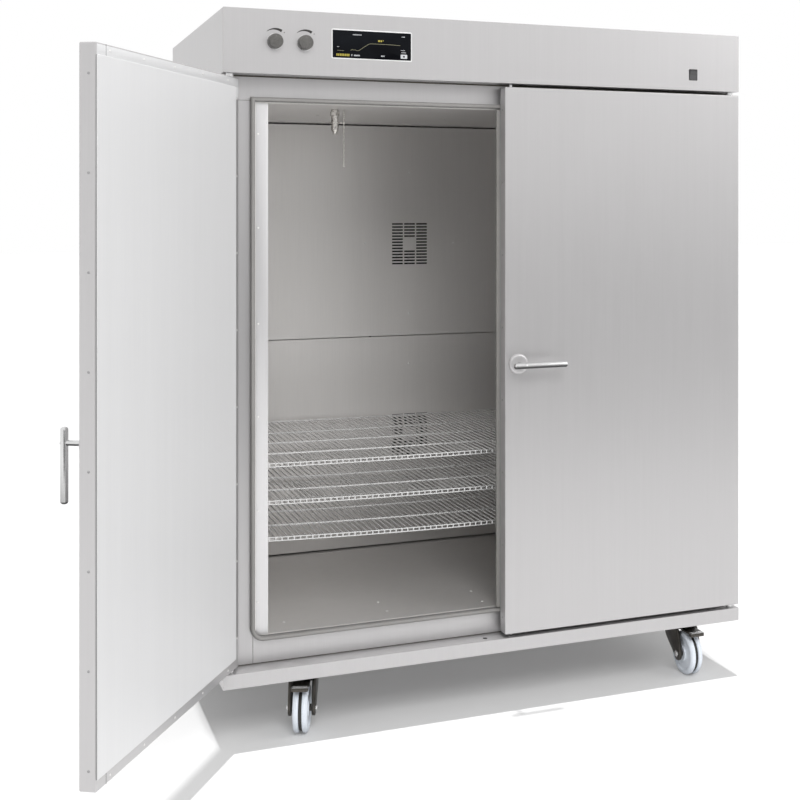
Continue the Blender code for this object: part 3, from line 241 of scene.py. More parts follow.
PLATE_BOLTS = ((-0.038, -0.032), (0.038, -0.032), (0.038, 0.032), (-0.038, 0.032))
HEX_HEAD = ((-0.0004, 0.0), (-0.0004, 0.0065), (0.0040, 0.0065), (0.0046, 0.0055), (0.0046, 0.0))
AXLE_HEAD = ((-0.0004, 0.0), (-0.0004, 0.0088), (0.0022, 0.0088), (0.0040, 0.0070), (0.0048, 0.0))
NYLON = (0.78, 0.83, 0.90)
GROOVE_DARK = (0.030, 0.029, 0.028)
FORK_STEEL = (0.075, 0.069, 0.062)
FORK_GRAIN = (160.0, 160.0, 40.0)
BOLT_STEEL = (0.74, 0.74, 0.74)
FINE_GRAIN = (600.0, 600.0, 600.0)
MOULD_CLOUD = 40
MOULD_SHADE = (0.92, 0.92, 0.92)
MOULD_GLOSS_SPREAD = 0.06
MOULD_BUMP_DEPTH = 0.0003


def place_of(name):
    """A joint's place at rest."""
    return np.array(joint[name]["pos_m"])


def axis_of(name):
    """A joint's axis at rest."""
    return np.array(joint[name]["axis"])


def grid_faces(count, rows, columns, close_rows=False):
    """Quads between neighbouring points of count grids, closed across columns and, if asked, across rows."""
    index = np.arange(count * rows * columns).reshape(count, rows, columns)
    first = index if close_rows else index[:, :-1]
    second = np.roll(index, -1, axis=1) if close_rows else index[:, 1:]
    quads = np.stack((first, np.roll(first, -1, axis=2), np.roll(second, -1, axis=2), second), axis=-1)
    return quads.reshape(-1, 4).tolist()


def turned(section, starts, axes, sides=24, ring=False):
    """Round bodies: each (distance, radius) of the section is swept once round an axis from its start.

    Point = start + axis * distance + (across * cos + up * sin) * radius, for many starts at once.
    """
    section = np.asarray(section, float)
    starts = np.atleast_2d(np.asarray(starts, float))
    axes = np.broadcast_to(np.asarray(axes, float), starts.shape)
    axes = axes / np.linalg.norm(axes, axis=1, keepdims=True)
    helper = np.where(np.abs(axes[:, 2:3]) > 0.9, RIGHT, UP)
    across = np.cross(helper, axes)
    across = across / np.linalg.norm(across, axis=1, keepdims=True)
    up = np.cross(axes, across)
    angle = np.linspace(0, math.tau, sides, endpoint=False)[None, :, None]
    spokes = across[:, None] * np.cos(angle) + up[:, None] * np.sin(angle)
    along = axes[:, None, None] * section[None, :, 0, None, None]
    points = starts[:, None, None] + along + spokes[:, None] * section[None, :, 1, None, None]
    return points.reshape(-1, 3), grid_faces(len(starts), len(section), sides, ring)


def round_bar(start, end, radius):
    """Section of a square-cut round bar, closed at both ends."""
    return (start, 0.0), (start, radius), (end, radius), (end, 0.0)


def carried(outline, section, place, ring=False):
    """A section carried round a closed outline.

    Point = place(outline + mitred corner normal * section's offset, section's height); the ends get caps
    unless the section is a ring.
    """
    outline = np.asarray(outline, float)
    section = np.asarray(section, float)
    back = outline - np.roll(outline, 1, axis=0)
    ahead = np.roll(back, -1, axis=0)
    back_normal = np.stack((back[:, 1], -back[:, 0]), -1) / np.linalg.norm(back, axis=1, keepdims=True)
    ahead_normal = np.stack((ahead[:, 1], -ahead[:, 0]), -1) / np.linalg.norm(ahead, axis=1, keepdims=True)
    mitre = (back_normal + ahead_normal) / (1 + np.sum(back_normal * ahead_normal, 1, keepdims=True))
    flat = outline[None] + mitre[None] * section[:, None, :1]
    height = np.broadcast_to(section[:, None, 1:], (*flat.shape[:2], 1))
    points = place(np.concatenate((flat, height), -1))
    count = len(outline)
    faces = grid_faces(1, len(section), count, ring)
    if not ring:
        faces += [list(range(count)), list(range(count * (len(section) - 1), count * len(section)))]
    return points.reshape(-1, 3), faces


def set_on(origin, across, along, out):
    """A map from local (across, along, out) distances to the shared frame."""
    axes = np.array((across, along, out), float)
    start = np.asarray(origin, float)
    return lambda local: start + local @ axes


def eased_rim(low, high, ease):
    """Section of a plate's rim from low to high, with a quarter arc of three points at each corner."""
    turn = np.radians((0, 45, 90))
    lower = np.stack((ease * (np.sin(turn) - 1), low + ease * (1 - np.cos(turn))), -1)
    upper = np.stack((ease * (np.cos(turn) - 1), high - ease * (1 - np.sin(turn))), -1)
    return np.concatenate((lower, upper))


def plate(outline, rim, place):
    """A flat plate: its outline carried through the eased rim (low, high, ease)."""
    return carried(outline, eased_rim(*rim), place)


def rounded_box(left, right, low, high, radius, steps=4):
    """A rectangle's outline, anticlockwise, whose corners are quarter arcs of the given radius."""
    turn = np.arange(4)[:, None] * math.pi / 2 + np.linspace(0, math.pi / 2, steps + 1)
    middle_x = np.array((right - radius, left + radius, left + radius, right - radius))[:, None]
    middle_y = np.array((high - radius, high - radius, low + radius, low + radius))[:, None]
    return np.stack((middle_x + radius * np.cos(turn), middle_y + radius * np.sin(turn)), -1).reshape(-1, 2)


def softened(outline, rounds=2):
    """Cuts each corner of a closed outline: every side loses a fifth at each end, rounds times over."""
    made = np.asarray(outline, float)
    kept = 1 - CORNER_CUT
    for _ in range(rounds):
        after = np.roll(made, -1, axis=0)
        near = kept * made + CORNER_CUT * after
        far = CORNER_CUT * made + kept * after
        made = np.stack((near, far), 1).reshape(-1, 2)
    return made


def put_in_scene(name, data):
    """A new object in the scene that shows a mesh, lamp or camera."""
    made = bpy.data.objects.new(name, data)
    bpy.context.scene.collection.objects.link(made)
    return made


def attach(name, mesh, material, body, slot, *replaced):
    """Puts a finished mesh in the scene: it rides on a body and stands for the CAD nodes named."""
    made = put_in_scene(name, mesh)
    mesh.materials.append(material)
    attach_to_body(made, body)
    if replaced:
        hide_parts(*replaced)


def build(name, parts, material, body, slot, replaced=(), crease=35.0):
    """Joins (points, faces) parts into one mesh, merges seams and poles, and turns the faces outwards."""
    points = np.concatenate([made for made, _ in parts])
    faces = []
    start = 0
    for made, part_faces in parts:
        faces += [[corner + start for corner in face] for face in part_faces]
        start += len(made)
    mesh = bpy.data.meshes.new(name)
    mesh.from_pydata(points.tolist(), [], faces)
    shape = bmesh.new()
    shape.from_mesh(mesh)
    bmesh.ops.remove_doubles(shape, verts=shape.verts, dist=MERGE_GAP)
    bmesh.ops.recalc_face_normals(shape, faces=shape.faces)
    shape.to_mesh(mesh)
    shape.free()
    mesh.shade_smooth()
    mesh.set_sharp_from_angle(angle=math.radians(crease))
    attach(name, mesh, material, body, slot, *replaced)


def moulded(name, colour, roughness, scale, contrast, bump=0.15):
    """Moulded plastic or rubber: a fine grain in colour, gloss and bump over slow clouds."""
    material, tree, shader, place = start_material(name)
    grain = noise(tree, place, (scale,) * 3)
    clouds = noise(tree, place, (scale / MOULD_CLOUD,) * 3, CLOUD_DETAIL)
    fine = tint(tree, grain, shade(colour, -contrast), shade(colour, contrast))
    tree.links.new(times(tree, fine, tint(tree, clouds, MOULD_SHADE, WHITE)), shader.inputs["Base Color"])
    vary_gloss(tree, shader, grain, roughness - MOULD_GLOSS_SPREAD, roughness + MOULD_GLOSS_SPREAD)
    roughen(tree, shader, grain, bump, MOULD_BUMP_DEPTH)
    return material


wheel_nylon = moulded("wheel_nylon", NYLON, roughness=0.38, scale=300.0, contrast=0.05)
groove_dark = moulded("wheel_groove_dark", GROOVE_DARK, roughness=0.6, scale=500.0, contrast=0.1)
fork_steel = ground_steel(
    "castor_fork_steel", FORK_STEEL, metallic=0.85, roughness=0.30, grain=FORK_GRAIN, contrast=0.2
)
bolt_steel = ground_steel(
    "bright_bolt_steel", BOLT_STEEL, metallic=0.9, roughness=0.22, grain=FINE_GRAIN, contrast=0.06
)
half_section = np.array(WHEEL_HALF_SECTION)
wheel_section = np.concatenate((half_section[::-1] * (-1, 1), half_section))
leg_outline = softened(LEG_OUTLINE)
for castor in CASTORS:
    swivel = place_of(f"{castor}_castor_swivel")
    axle = place_of(f"{castor}_wheel_roll")
    side = axis_of(f"{castor}_wheel_roll")
    foot = swivel * (1, 1, 0)
    trail = (axle - swivel) * (1, 1, 0)
    trail = trail / np.linalg.norm(trail)
    wheel = f"{castor}_wheel"
    treads = [turned(wheel_section, axle, side, WHEEL_SIDES, ring=True)]
    build(f"{castor}_nylon_wheel", treads, wheel_nylon, wheel, "wheel_nylon", (f"{castor}_castor_wheel",))
    # A near-black ring fills the groove between the two treads, darker than the nylon.
    core = [turned(WHEEL_CORE, axle, side, WHEEL_SIDES, ring=True)]
    build(f"{castor}_wheel_core", core, groove_dark, wheel, "seal_rubber")
    parts = []
    for hand in (-1, 1):
        parts.append(plate(leg_outline, LEG_RIM, set_on(foot, trail, UP, side * hand)))
        parts.append(turned(round_bar(*AXLE_SPACER), axle, side * hand, 18))
    parts.append(plate(rounded_box(*CROWN), CROWN_RIM, set_on(foot, trail, side, UP)))
    parts.append(plate(rounded_box(*WEB), WEB_RIM, set_on(foot, side, UP, -trail)))
    parts.append(turned(HEAD_SECTION, foot + UP * CROWN_HIGH, UP, 36))
    parts.append(turned(round_bar(-LEG_OUTER, LEG_OUTER, AXLE_RADIUS), axle, side, 16))
    fork = f"{castor}_fork"
    build(f"{castor}_pressed_fork", parts, fork_steel, fork, "dark_steel", (f"{castor}_castor_fork",))
    heads = [turned(AXLE_HEAD, axle + side * LEG_OUTER * hand, side * hand, 18) for hand in (-1, 1)]
    build(f"{castor}_axle_bolt", heads, bolt_steel, fork, "polished_steel")
    parts = [plate(rounded_box(*TOP_PLATE), TOP_PLATE_RIM, set_on(foot, RIGHT, BACK, UP))]
    corners = [foot + (across, along, TOP_PLATE_LOW) for across, along in PLATE_BOLTS]
    parts.append(turned(HEX_HEAD, corners, -UP, 6))
    build(f"{castor}_top_plate", parts, fork_steel, "cabinet", "dark_steel")

# Brake pedals
# Pressed steel treadles over the front wheels, hinged between the fork's legs, with a turned-down tread end
# whose ribbed top is bright steel: a painted highlight where the light from above falls on it.
PEDAL_ARM = (-0.0225, 0.0225, -0.012, 0.070, 0.004)
ARM_RIM = (-0.002, 0.002, 0.0008)
PEDAL_TREAD = (-0.022, 0.022, 0.0665, 0.0842, 0.003)
TREAD_RIM = (-0.0078, 0.0022, 0.0014)
PEDAL_HUB = (-0.0255, 0.0255, 0.0042)
TREAD_HIGHLIGHT = (-0.0214, 0.0214, 0.0671, 0.0837, 0.0026)
TREAD_HIGHLIGHT_RIM = (0.0020, 0.0027, 0.0004)
TREAD_RIBS = (0.0700, 0.0740, 0.0780)
RIB_HALF = 0.018
RIB_WIDTH = 0.002
RIB_CORNER = 0.0008
RIB_RIM = (0.0025, 0.0035, 0.0004)
for castor in CASTORS[:2]:
    pivot = place_of(f"{castor}_pedal_lift")
    side = axis_of(f"{castor}_wheel_roll")
    trail = np.cross(side, UP)
    trail = trail * np.sign(np.dot(trail, pivot - place_of(f"{castor}_castor_swivel")))
    lay = set_on(pivot, side, trail, UP)
    parts = [turned(round_bar(*PEDAL_HUB), pivot, side, 16)]
    parts.append(plate(rounded_box(*PEDAL_ARM), ARM_RIM, lay))
    parts.append(plate(rounded_box(*PEDAL_TREAD), TREAD_RIM, lay))
    pedal = f"{castor}_pedal"
    build(f"{castor}_treadle", parts, fork_steel, pedal, "dark_steel", (f"{castor}_brake_pedal",))
    # Painted highlight: the tread's top plate and ribs are bright steel.
    parts = [plate(rounded_box(*TREAD_HIGHLIGHT), TREAD_HIGHLIGHT_RIM, lay)]
    for rib in TREAD_RIBS:
        parts.append(plate(rounded_box(-RIB_HALF, RIB_HALF, rib, rib + RIB_WIDTH, RIB_CORNER), RIB_RIM, lay))
    build(f"{castor}_tread_highlight", parts, bolt_steel, pedal, "polished_steel")

# Side and rear panels
# Flat brushed sheets that close the outer shell, set on the base.
# Round-headed screws along all four edges hold the rear sheet.
REAR_FACE = 0.470
REAR_SCREW_X = (-0.735, -0.37, 0.0, 0.37, 0.735)
REAR_SCREW_Z = (0.222, 0.59, 0.96, 1.33, 1.70)
SCREW_HEAD = ((-0.0004, 0.0), (-0.0004, 0.0040), (0.0008, 0.0039), (0.0017, 0.0027), (0.0022, 0.0))
paint(shell_steel, "left_side_panel", "right_side_panel", "rear_panel")
across, height = np.meshgrid(REAR_SCREW_X, REAR_SCREW_Z)
edge = np.ones(across.shape, bool)
edge[1:-1, 1:-1] = False
heads = np.stack((across[edge], np.full(edge.sum(), REAR_FACE), height[edge]), -1)
build("rear_panel_screws", [turned(SCREW_HEAD, heads, BACK, 12)], bolt_steel, "cabinet", "polished_steel")

# Front frame
# Four flat sheets round the opening: a full-width top rail, two stiles under it, and a bottom rail.
# Their butt joints show as hairline seams.
FRAME_FACE = -0.411
FRAME_RIM = (0.0, 0.0015, 0.0004)
FRAME_EDGE = 0.7497
FRAME_LOW = 0.2042
FRAME_HIGH = 1.7165
HOLE_HALF = 0.6268
HOLE_LOW = 0.2752
HOLE_HIGH = 1.6518
TOP_SEAM = 1.6564
FOOT_SEAM = 0.6636
SEAM = 0.0009


def upright_at(depth, out):
    """A map from (right, up, out) distances to the shared frame, from an upright plane at that depth."""
    return set_on((0, depth, 0), RIGHT, UP, out)


def mirrored(outline):
    """The outline on the other side of the middle, still anticlockwise."""
    return outline[::-1] * (-1, 1)


stile = np.array((
    (FOOT_SEAM + SEAM, FRAME_LOW), (FRAME_EDGE, FRAME_LOW), (FRAME_EDGE, TOP_SEAM - SEAM),
    (HOLE_HALF, TOP_SEAM - SEAM), (HOLE_HALF, HOLE_LOW), (FOOT_SEAM + SEAM, HOLE_LOW),
))
top_rail = (
    (-FRAME_EDGE, TOP_SEAM), (-HOLE_HALF, TOP_SEAM), (-HOLE_HALF, HOLE_HIGH), (HOLE_HALF, HOLE_HIGH),
    (HOLE_HALF, TOP_SEAM), (FRAME_EDGE, TOP_SEAM), (FRAME_EDGE, FRAME_HIGH), (-FRAME_EDGE, FRAME_HIGH),
)
foot_rail = ((-FOOT_SEAM, FRAME_LOW), (FOOT_SEAM, FRAME_LOW), (FOOT_SEAM, HOLE_LOW), (-FOOT_SEAM, HOLE_LOW))
sheets = (stile, mirrored(stile), top_rail, foot_rail)
parts = [plate(outline, FRAME_RIM, upright_at(FRAME_FACE, BACK)) for outline in sheets]
build("front_frame_sheets", parts, shell_steel, "cabinet", "brushed_steel", ("front_frame",), crease=20.0)

# Chamber
# The welded inner box of plain stainless sheet with a flange round its mouth, riveted to the front frame.
# The flange's upright sides are ground finer. Screws hold the floor and ceiling sheets from inside.
CHAMBER_STEEL = (0.76, 0.742, 0.725)
CHAMBER_GRAIN = (300.0, 300.0, 6.0)
SCREW_STEEL = (0.80, 0.79, 0.78)
FLANGE_FACE = -0.4128
FLANGE_SIDE = (0.6254, 0.6565, 0.2775, 1.6495, 0.0004)
FLANGE_STEEL = (0.680, 0.673, 0.678)
SKIM = (-0.0002, 0.0001, 0.00005)
RIVET_X = 0.651
RIVET_Z = (1.5695, 1.3269, 1.0792, 0.8391, 0.5965, 0.3617)
LIP_SCREW_X = (-0.510, -0.367, -0.2234, -0.0826, 0.0826, 0.2234, 0.367, 0.510)
LIP_SCREW_Z = 0.2757
FLOOR_SCREWS = (
    (-0.5665, -0.332), (-0.2857, -0.2535), (-0.2861, -0.3438), (-0.0091, -0.2525), (-0.014, -0.3565),
    (0.2857, -0.2535), (0.2861, -0.3438), (0.5665, -0.332),
)
FLOOR_LEVEL = 0.277
CEILING_LEVEL = 1.650
CEILING_SCREWS = ((-0.006, -0.012), (-0.40, -0.012), (0.40, -0.012))
RIVET_HEAD = ((-0.0003, 0.0), (-0.0003, 0.0030), (0.0006, 0.0028), (0.0012, 0.0017), (0.0014, 0.0))
LIP_HEAD = ((-0.0003, 0.0), (-0.0003, 0.0013), (0.0008, 0.0011), (0.0011, 0.0))
chamber_steel = ground_steel(
    "chamber_sheet_steel", CHAMBER_STEEL, metallic=0.60, roughness=0.38, grain=CHAMBER_GRAIN, contrast=0.016
)
screw_steel = ground_steel(
    "satin_screw_steel", SCREW_STEEL, metallic=0.5, roughness=0.35, grain=FINE_GRAIN, contrast=0.05
)
paint(chamber_steel, "chamber_liner")
side_sheet = rounded_box(*FLANGE_SIDE, steps=2)
parts = [plate(sheet, SKIM, upright_at(FLANGE_FACE, BACK)) for sheet in (side_sheet, mirrored(side_sheet))]
flange_steel = ground_steel(
    "ground_flange_steel", FLANGE_STEEL, metallic=0.60, roughness=0.38, grain=SHEET_GRAIN, contrast=0.014
)
build("chamber_flange_sides", parts, flange_steel, "cabinet", "brushed_steel")
rivets = [(hand * RIVET_X, FLANGE_FACE, height) for hand in (-1, 1) for height in RIVET_Z]
lip_screws = [(across, FLANGE_FACE, LIP_SCREW_Z) for across in LIP_SCREW_X]
floor_screws = [(*spot, FLOOR_LEVEL) for spot in FLOOR_SCREWS]
ceiling_screws = [(*spot, CEILING_LEVEL) for spot in CEILING_SCREWS]
parts = [turned(RIVET_HEAD, rivets, -BACK, 10), turned(LIP_HEAD, lip_screws, -BACK, 10)]
parts += [turned(SCREW_HEAD, floor_screws, UP, 10), turned(SCREW_HEAD, ceiling_screws, -UP, 10)]
build("chamber_screws", parts, screw_steel, "cabinet", "polished_steel")

# Insulation
# Mineral wool boards that keep the heat in, out of sight.
# They are packed between the chamber and the shell, and into each door.
WOOL = (0.10, 0.088, 0.066)
mineral_wool = moulded("mineral_wool", WOOL, roughness=0.9, scale=260.0, contrast=0.35, bump=0.8)
paint(mineral_wool, "chamber_insulation", "left_door_core", "right_door_core")

# Rear air panels
# Two steel sheets hung in front of the fans, one over the other, with slotted vents and an open air gap
# over and under them. A screw near each side of a vent holds the sheet.
PANEL_FACE = 0.350
PANEL_SCREWS = (
    (-0.156, 1.266), (0.147, 1.263), (-0.008, 1.495), (-0.008, 1.033), (-0.156, 0.640), (0.147, 0.637),
    (-0.008, 0.868), (-0.008, 0.403), (-0.56, 1.55), (0.56, 1.55), (-0.56, 1.05), (0.56, 1.05),
    (-0.56, 0.86), (0.56, 0.86),
)
paint(chamber_steel, "rear_air_panel_lower", "rear_air_panel_upper")
heads = [(across, PANEL_FACE, height) for across, height in PANEL_SCREWS]
build("air_panel_screws", [turned(SCREW_HEAD, heads, -BACK, 10)], screw_steel, "cabinet", "polished_steel")

# Fans and heater
# Sheet steel fan wheels on motor shafts behind the air panels, ringed by one tubular heater of dark steel.
# The fan wheels and motors take the heater's dark colour as painted shade, and a dark disc on the chamber's
# rear wall behind each fan is painted shade too, so the vents show dark.
HEATER_AND_SHADE_DARK = (0.030, 0.027, 0.025)
HEATER_GRAIN = (300.0, 300.0, 300.0)
SHADE_DISC = ((0.0, 0.0090), (0.0, 0.1400), (0.0012, 0.1400), (0.0012, 0.0090))
LINER_SHEET = 0.0015
heater_and_vent_shade_steel = ground_steel(
    "heater_tube_and_vent_shade_steel", HEATER_AND_SHADE_DARK, metallic=0.6, roughness=0.5, grain=HEATER_GRAIN, contrast=0.2
)
fans = [f"fan_{piece}_{level}" for piece in ("motor", "wheel") for level in ("upper", "lower")]
# Painted shade: the fan wheels and motors share the heater's dark steel, so the vents behind them show dark.
paint(heater_and_vent_shade_steel, "heater_coil", *fans)
rear_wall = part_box("chamber_liner")[1].y - LINER_SHEET
# Painted shade: a dark disc on the rear wall behind each fan.
parts = []
for level in ("upper", "lower"):
    centre = place_of(f"{level}_fan_spin")
    parts.append(turned(SHADE_DISC, (centre[0], rear_wall, centre[2]), -BACK, 48, ring=True))
build("fan_shade_discs", parts, heater_and_vent_shade_steel, "cabinet", "dark_steel")

# Shelf racks
# Flat uprights screwed to the chamber's side walls.
# Each pair carries three welded runners for the shelves.
RACK_FACE = 0.6217
RACK_SCREW_Y = (-0.2575, 0.2625)
RACK_SCREW_Z = (0.36, 0.56, 0.80, 1.10, 1.46)
paint(chamber_steel, "left_shelf_rack", "right_shelf_rack")
parts = []
for hand in (-1, 1):
    heads = [(hand * RACK_FACE, along, height) for along in RACK_SCREW_Y for height in RACK_SCREW_Z]
    parts.append(turned(SCREW_HEAD, heads, RIGHT * -hand, 10))
build("shelf_rack_screws", parts, screw_steel, "cabinet", "polished_steel")

# Wire shelves
# Welded grids of close front-to-back wires let into cross rods, their front ends bent down to a lower rod.
# The cross rods meet a side rod that rests on the rack's runner, and the grids sag a little between.
SHELF_SAG = {"lower": 0.0107, "middle": 0.0083, "upper": 0.0052}
WIRE_PITCH = 0.0165
WIRE_RADIUS = 0.0020
ROD_RADIUS = 0.0024
FRONT_ROD_RADIUS = 0.0016
ROD_LIFT = 0.0012
ROD_Y = (-0.221, -0.052, 0.117)
FRONT_DROP = 0.0088
SHELF_END = 0.6145
SAG_STEPS = 20
WIRE_STEEL = (0.74, 0.735, 0.73)
WIRE_GRAIN = (500.0, 60.0, 500.0)
wire_steel = ground_steel(
    "drawn_wire_steel", WIRE_STEEL, metallic=0.55, roughness=0.34, grain=WIRE_GRAIN, contrast=0.05
)


def rods(starts, ends, radius, sides=8):
    """Straight round rods between pairs of points: a square-cut cylinder on each line."""
    starts = np.asarray(starts, float)
    reach = np.asarray(ends, float) - starts
    length = np.linalg.norm(reach, axis=1)[:, None]
    section = np.array(round_bar(0.0, 1.0, 1.0))
    points, faces = turned(section * (1.0, radius), starts, reach, sides)
    points = points.reshape(len(starts), len(section), sides, 3)
    unit = (reach / length)[:, None, None]
    stretch = (length - 1)[:, :, None, None] * section[None, :, :1, None]
    return (points + unit * stretch).reshape(-1, 3), faces


def sagging(part, drop):
    """Lowers a part's points by the drop times one less the square of their share of the way to a side."""
    points, faces = part
    share = points[:, :1] / SHELF_END
    return points - UP * drop * (1 - share ** 2), faces


for shelf, drop in SHELF_SAG.items():
    low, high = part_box(f"shelf_{shelf}")
    wire_x = np.arange(-SHELF_END + WIRE_RADIUS, SHELF_END, WIRE_PITCH)
    wire_x = wire_x - (wire_x[0] + wire_x[-1]) / 2
    flat = np.ones_like(wire_x)
    top = high.z - WIRE_RADIUS
    front = low.y - 2 * WIRE_RADIUS
    front_ends = np.stack((wire_x, front * flat, top * flat), -1)
    parts = [rods(front_ends, np.stack((wire_x, high.y * flat, top * flat), -1), WIRE_RADIUS, 6)]
    parts.append(rods(front_ends, front_ends - UP * FRONT_DROP, WIRE_RADIUS, 6))
    under = top - WIRE_RADIUS - ROD_RADIUS
    across = np.linspace(0, 2 * SHELF_END, SAG_STEPS + 1)
    bar = np.stack((np.array((0, *across, across[-1])), np.array((0, *np.ones_like(across), 0))), -1)
    rod_y = np.array((*ROD_Y, high.y - ROD_RADIUS))
    left_ends = np.stack((np.full_like(rod_y, -SHELF_END), rod_y, np.full_like(rod_y, top + ROD_LIFT)), -1)
    parts.append(turned(bar * (1, ROD_RADIUS), left_ends, RIGHT, 10))
    left_ends = [(-SHELF_END, front, top), (-SHELF_END, front, top - FRONT_DROP)]
    parts.append(turned(bar * (1, FRONT_ROD_RADIUS), left_ends, RIGHT, 10))
    side_x = np.array((-1, 1)) * (SHELF_END - ROD_RADIUS)
    starts = np.stack((side_x, np.full(2, front), np.full(2, under)), -1)
    parts.append(rods(starts, starts + BACK * (high.y - front), ROD_RADIUS, 10))
    hung = [sagging(part, drop) for part in parts]
    build(f"{shelf}_wire_grid", hung, wire_steel, f"{shelf}_shelf", "shelf_wire", (f"shelf_{shelf}",))

# Door gasket
# A hollow silicone bulb in one loop round the opening, pressed into a channel on the front frame.
# Its lower corners are bent round, its upper ones are mitred.
GASKET_HALF = 0.666
GASKET_LOW = 0.268
GASKET_HIGH = 1.659
GASKET_BEND = 0.029
GASKET_MIDDLE = -0.4205
GASKET_BULB = (0.0058, 0.0088)
GASKET_RUBBER = (0.26, 0.253, 0.245)
seal_rubber = moulded("seal_rubber", GASKET_RUBBER, roughness=0.5, scale=700.0, contrast=0.08)
bend = np.linspace(math.pi, math.pi * 2, 18)
hand = np.where(bend < math.pi * 1.5, -1, 1)
corner_x = hand * (GASKET_HALF - GASKET_BEND) + GASKET_BEND * np.cos(bend)
corner_z = GASKET_LOW + GASKET_BEND + GASKET_BEND * np.sin(bend)
lower_run = np.stack((corner_x, corner_z), -1)
loop = np.concatenate((lower_run, ((GASKET_HALF, GASKET_HIGH), (-GASKET_HALF, GASKET_HIGH))))
turn = np.linspace(0, math.tau, 12, endpoint=False)
bulb = np.stack((GASKET_BULB[0] * np.cos(turn), GASKET_BULB[1] * np.sin(turn)), -1)
parts = [carried(loop, bulb, upright_at(GASKET_MIDDLE, -BACK), ring=True)]
build("gasket_bulb", parts, seal_rubber, "cabinet", "seal_rubber", ("door_gasket",), crease=50.0)

# Hinge pins
# Turned steel pins under the hood and on the base, two for each door.
# A collar on the pin fills the gap to the door.
PIN_GRAIN = (300.0, 300.0, 900.0)
HANDS = ("left", "right")
pin_steel = ground_steel(
    "turned_pin_steel", BOLT_STEEL, metallic=0.9, roughness=0.25, grain=PIN_GRAIN, contrast=0.05
)
paint(pin_steel, *[f"{name}_{end}_hinge_pin" for name in HANDS for end in ("top", "bottom")])

# Doors
# Each door is a folded skin tray with a satin panel raised inside its border. Screws hold the panel along
# three borders and the skin along its free edge. A seam crosses each end border, and the top border is left
# satin like the panel, down to the first hinge screw.
# A mid-grey strip along the gap between each skin's free edge and its panel is painted shade.
LINER_STEEL = (0.728, 0.728, 0.733)
LINER_GRAIN = (350.0, 350.0, 5.0)
BORDER_STEEL = (0.67, 0.67, 0.675)
BORDER_INSET = 0.0035
BORDER_CORNER = 0.0005
DOOR_FOLD = 0.003
FLAT_ANGLE = math.radians(1)
FOLD_ANGLE = 0.5
LINER_FOLD = 0.001
LINER_NARROWEST = 0.002
LEFT_HINGE = place_of("left_door_swing")
LEFT_SWING = math.radians(-121.9)
FREE_EDGE = {"left": 0.0015, "right": 0.0115}
EDGE_SCREW_Z = 1.6473 - 0.199 * np.arange(8)
EDGE_SCREW_Y = -0.449
BORDER_FACE = -0.433
BORDER_SCREW_X = 0.060 + 0.155 * np.arange(5)
BORDER_ENDS = (1.6975, 0.2245)
HINGE_BORDER_X = 0.738
HINGE_SCREW_Z = 1.655 - 0.1955 * np.arange(8)
SEAM_SHADE = (0.10, 0.10, 0.10)
FOLD_SHADE = (0.30, 0.30, 0.30)
FILM = (-0.0002, 0.0002, 0.0001)
SEAM_X = 0.0435
SEAM_HALF = 0.0008
SEAM_CORNER = 0.0005
SEAM_SPANS = ((1.6856, 1.7092), (0.2128, 0.2364))
EDGE_GAP_SHADE = (-0.0001, 0.0011, -0.4333, -0.4311)
EDGE_GAP_SHADE_CORNER = 0.0002
EDGE_GAP_SHADE_RIM = (0.2376, 1.6844, 0.0003)


def folded(name, radius, material, slot, narrowest=0.005, shortest=0.03):
    """The CAD sheet piece with each outer fold between two wide faces turned into an arc of that radius."""
    shape = bmesh.new()
    shape.from_mesh(node[name].data)
    bmesh.ops.remove_doubles(shape, verts=shape.verts, dist=WELD_GAP)
    bmesh.ops.dissolve_limit(shape, angle_limit=FLAT_ANGLE, verts=shape.verts, edges=shape.edges)
    wide = {face for face in shape.faces if 2 * face.calc_area() / face.calc_perimeter() > narrowest}
    folds = []
    for edge in shape.edges:
        outer = edge.is_convex and edge.calc_face_angle() > FOLD_ANGLE and edge.calc_length() > shortest
        if outer and wide.issuperset(edge.link_faces):
            folds.append(edge)
    bmesh.ops.bevel(
        shape, geom=folds, offset=radius, offset_type="OFFSET", segments=3, profile=0.5, affect="EDGES"
    )
    mesh = bpy.data.meshes.new(f"{name}_sheet")
    shape.to_mesh(mesh)
    shape.free()
    attach(f"{name}_sheet", mesh, material, node[name]["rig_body"], slot, name)


def on_left_door(points):
    """Points given with X from the middle, swung about the left hinge to the door's angle at rest."""
    away = points * (-1, 1, 1) - LEFT_HINGE
    swung = np.stack((
        away[..., 0] * math.cos(LEFT_SWING) - away[..., 1] * math.sin(LEFT_SWING),
        away[..., 0] * math.sin(LEFT_SWING) + away[..., 1] * math.cos(LEFT_SWING),
        away[..., 2],
    ), -1)
    return swung + LEFT_HINGE


def on_right_door(points):
    """Points given with X from the middle, which is where the shut right door has them."""
    return points


liner_steel = ground_steel(
    "satin_liner_steel", LINER_STEEL, metallic=0.12, roughness=0.40, grain=LINER_GRAIN, contrast=0.012
)
border_steel = ground_steel(
    "satin_border_steel", BORDER_STEEL, metallic=0.12, roughness=0.40, grain=LINER_GRAIN, contrast=0.012
)
panel_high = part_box("right_door_liner")[1]
skin_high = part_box("right_door_skin")[1]
seam_shade = moulded("seam_shade", SEAM_SHADE, roughness=0.7, scale=700.0, contrast=0.08)
fold_shade = moulded("fold_shade", FOLD_SHADE, roughness=0.6, scale=700.0, contrast=0.08)
border_heads = [(across, BORDER_FACE, height) for height in BORDER_ENDS for across in BORDER_SCREW_X]
border_heads += [(HINGE_BORDER_X, BORDER_FACE, height) for height in HINGE_SCREW_Z]
face_plane = upright_at(BORDER_FACE, BACK)
upright = set_on((0, 0, 0), RIGHT, BACK, UP)
border_end = skin_high.x - BORDER_INSET
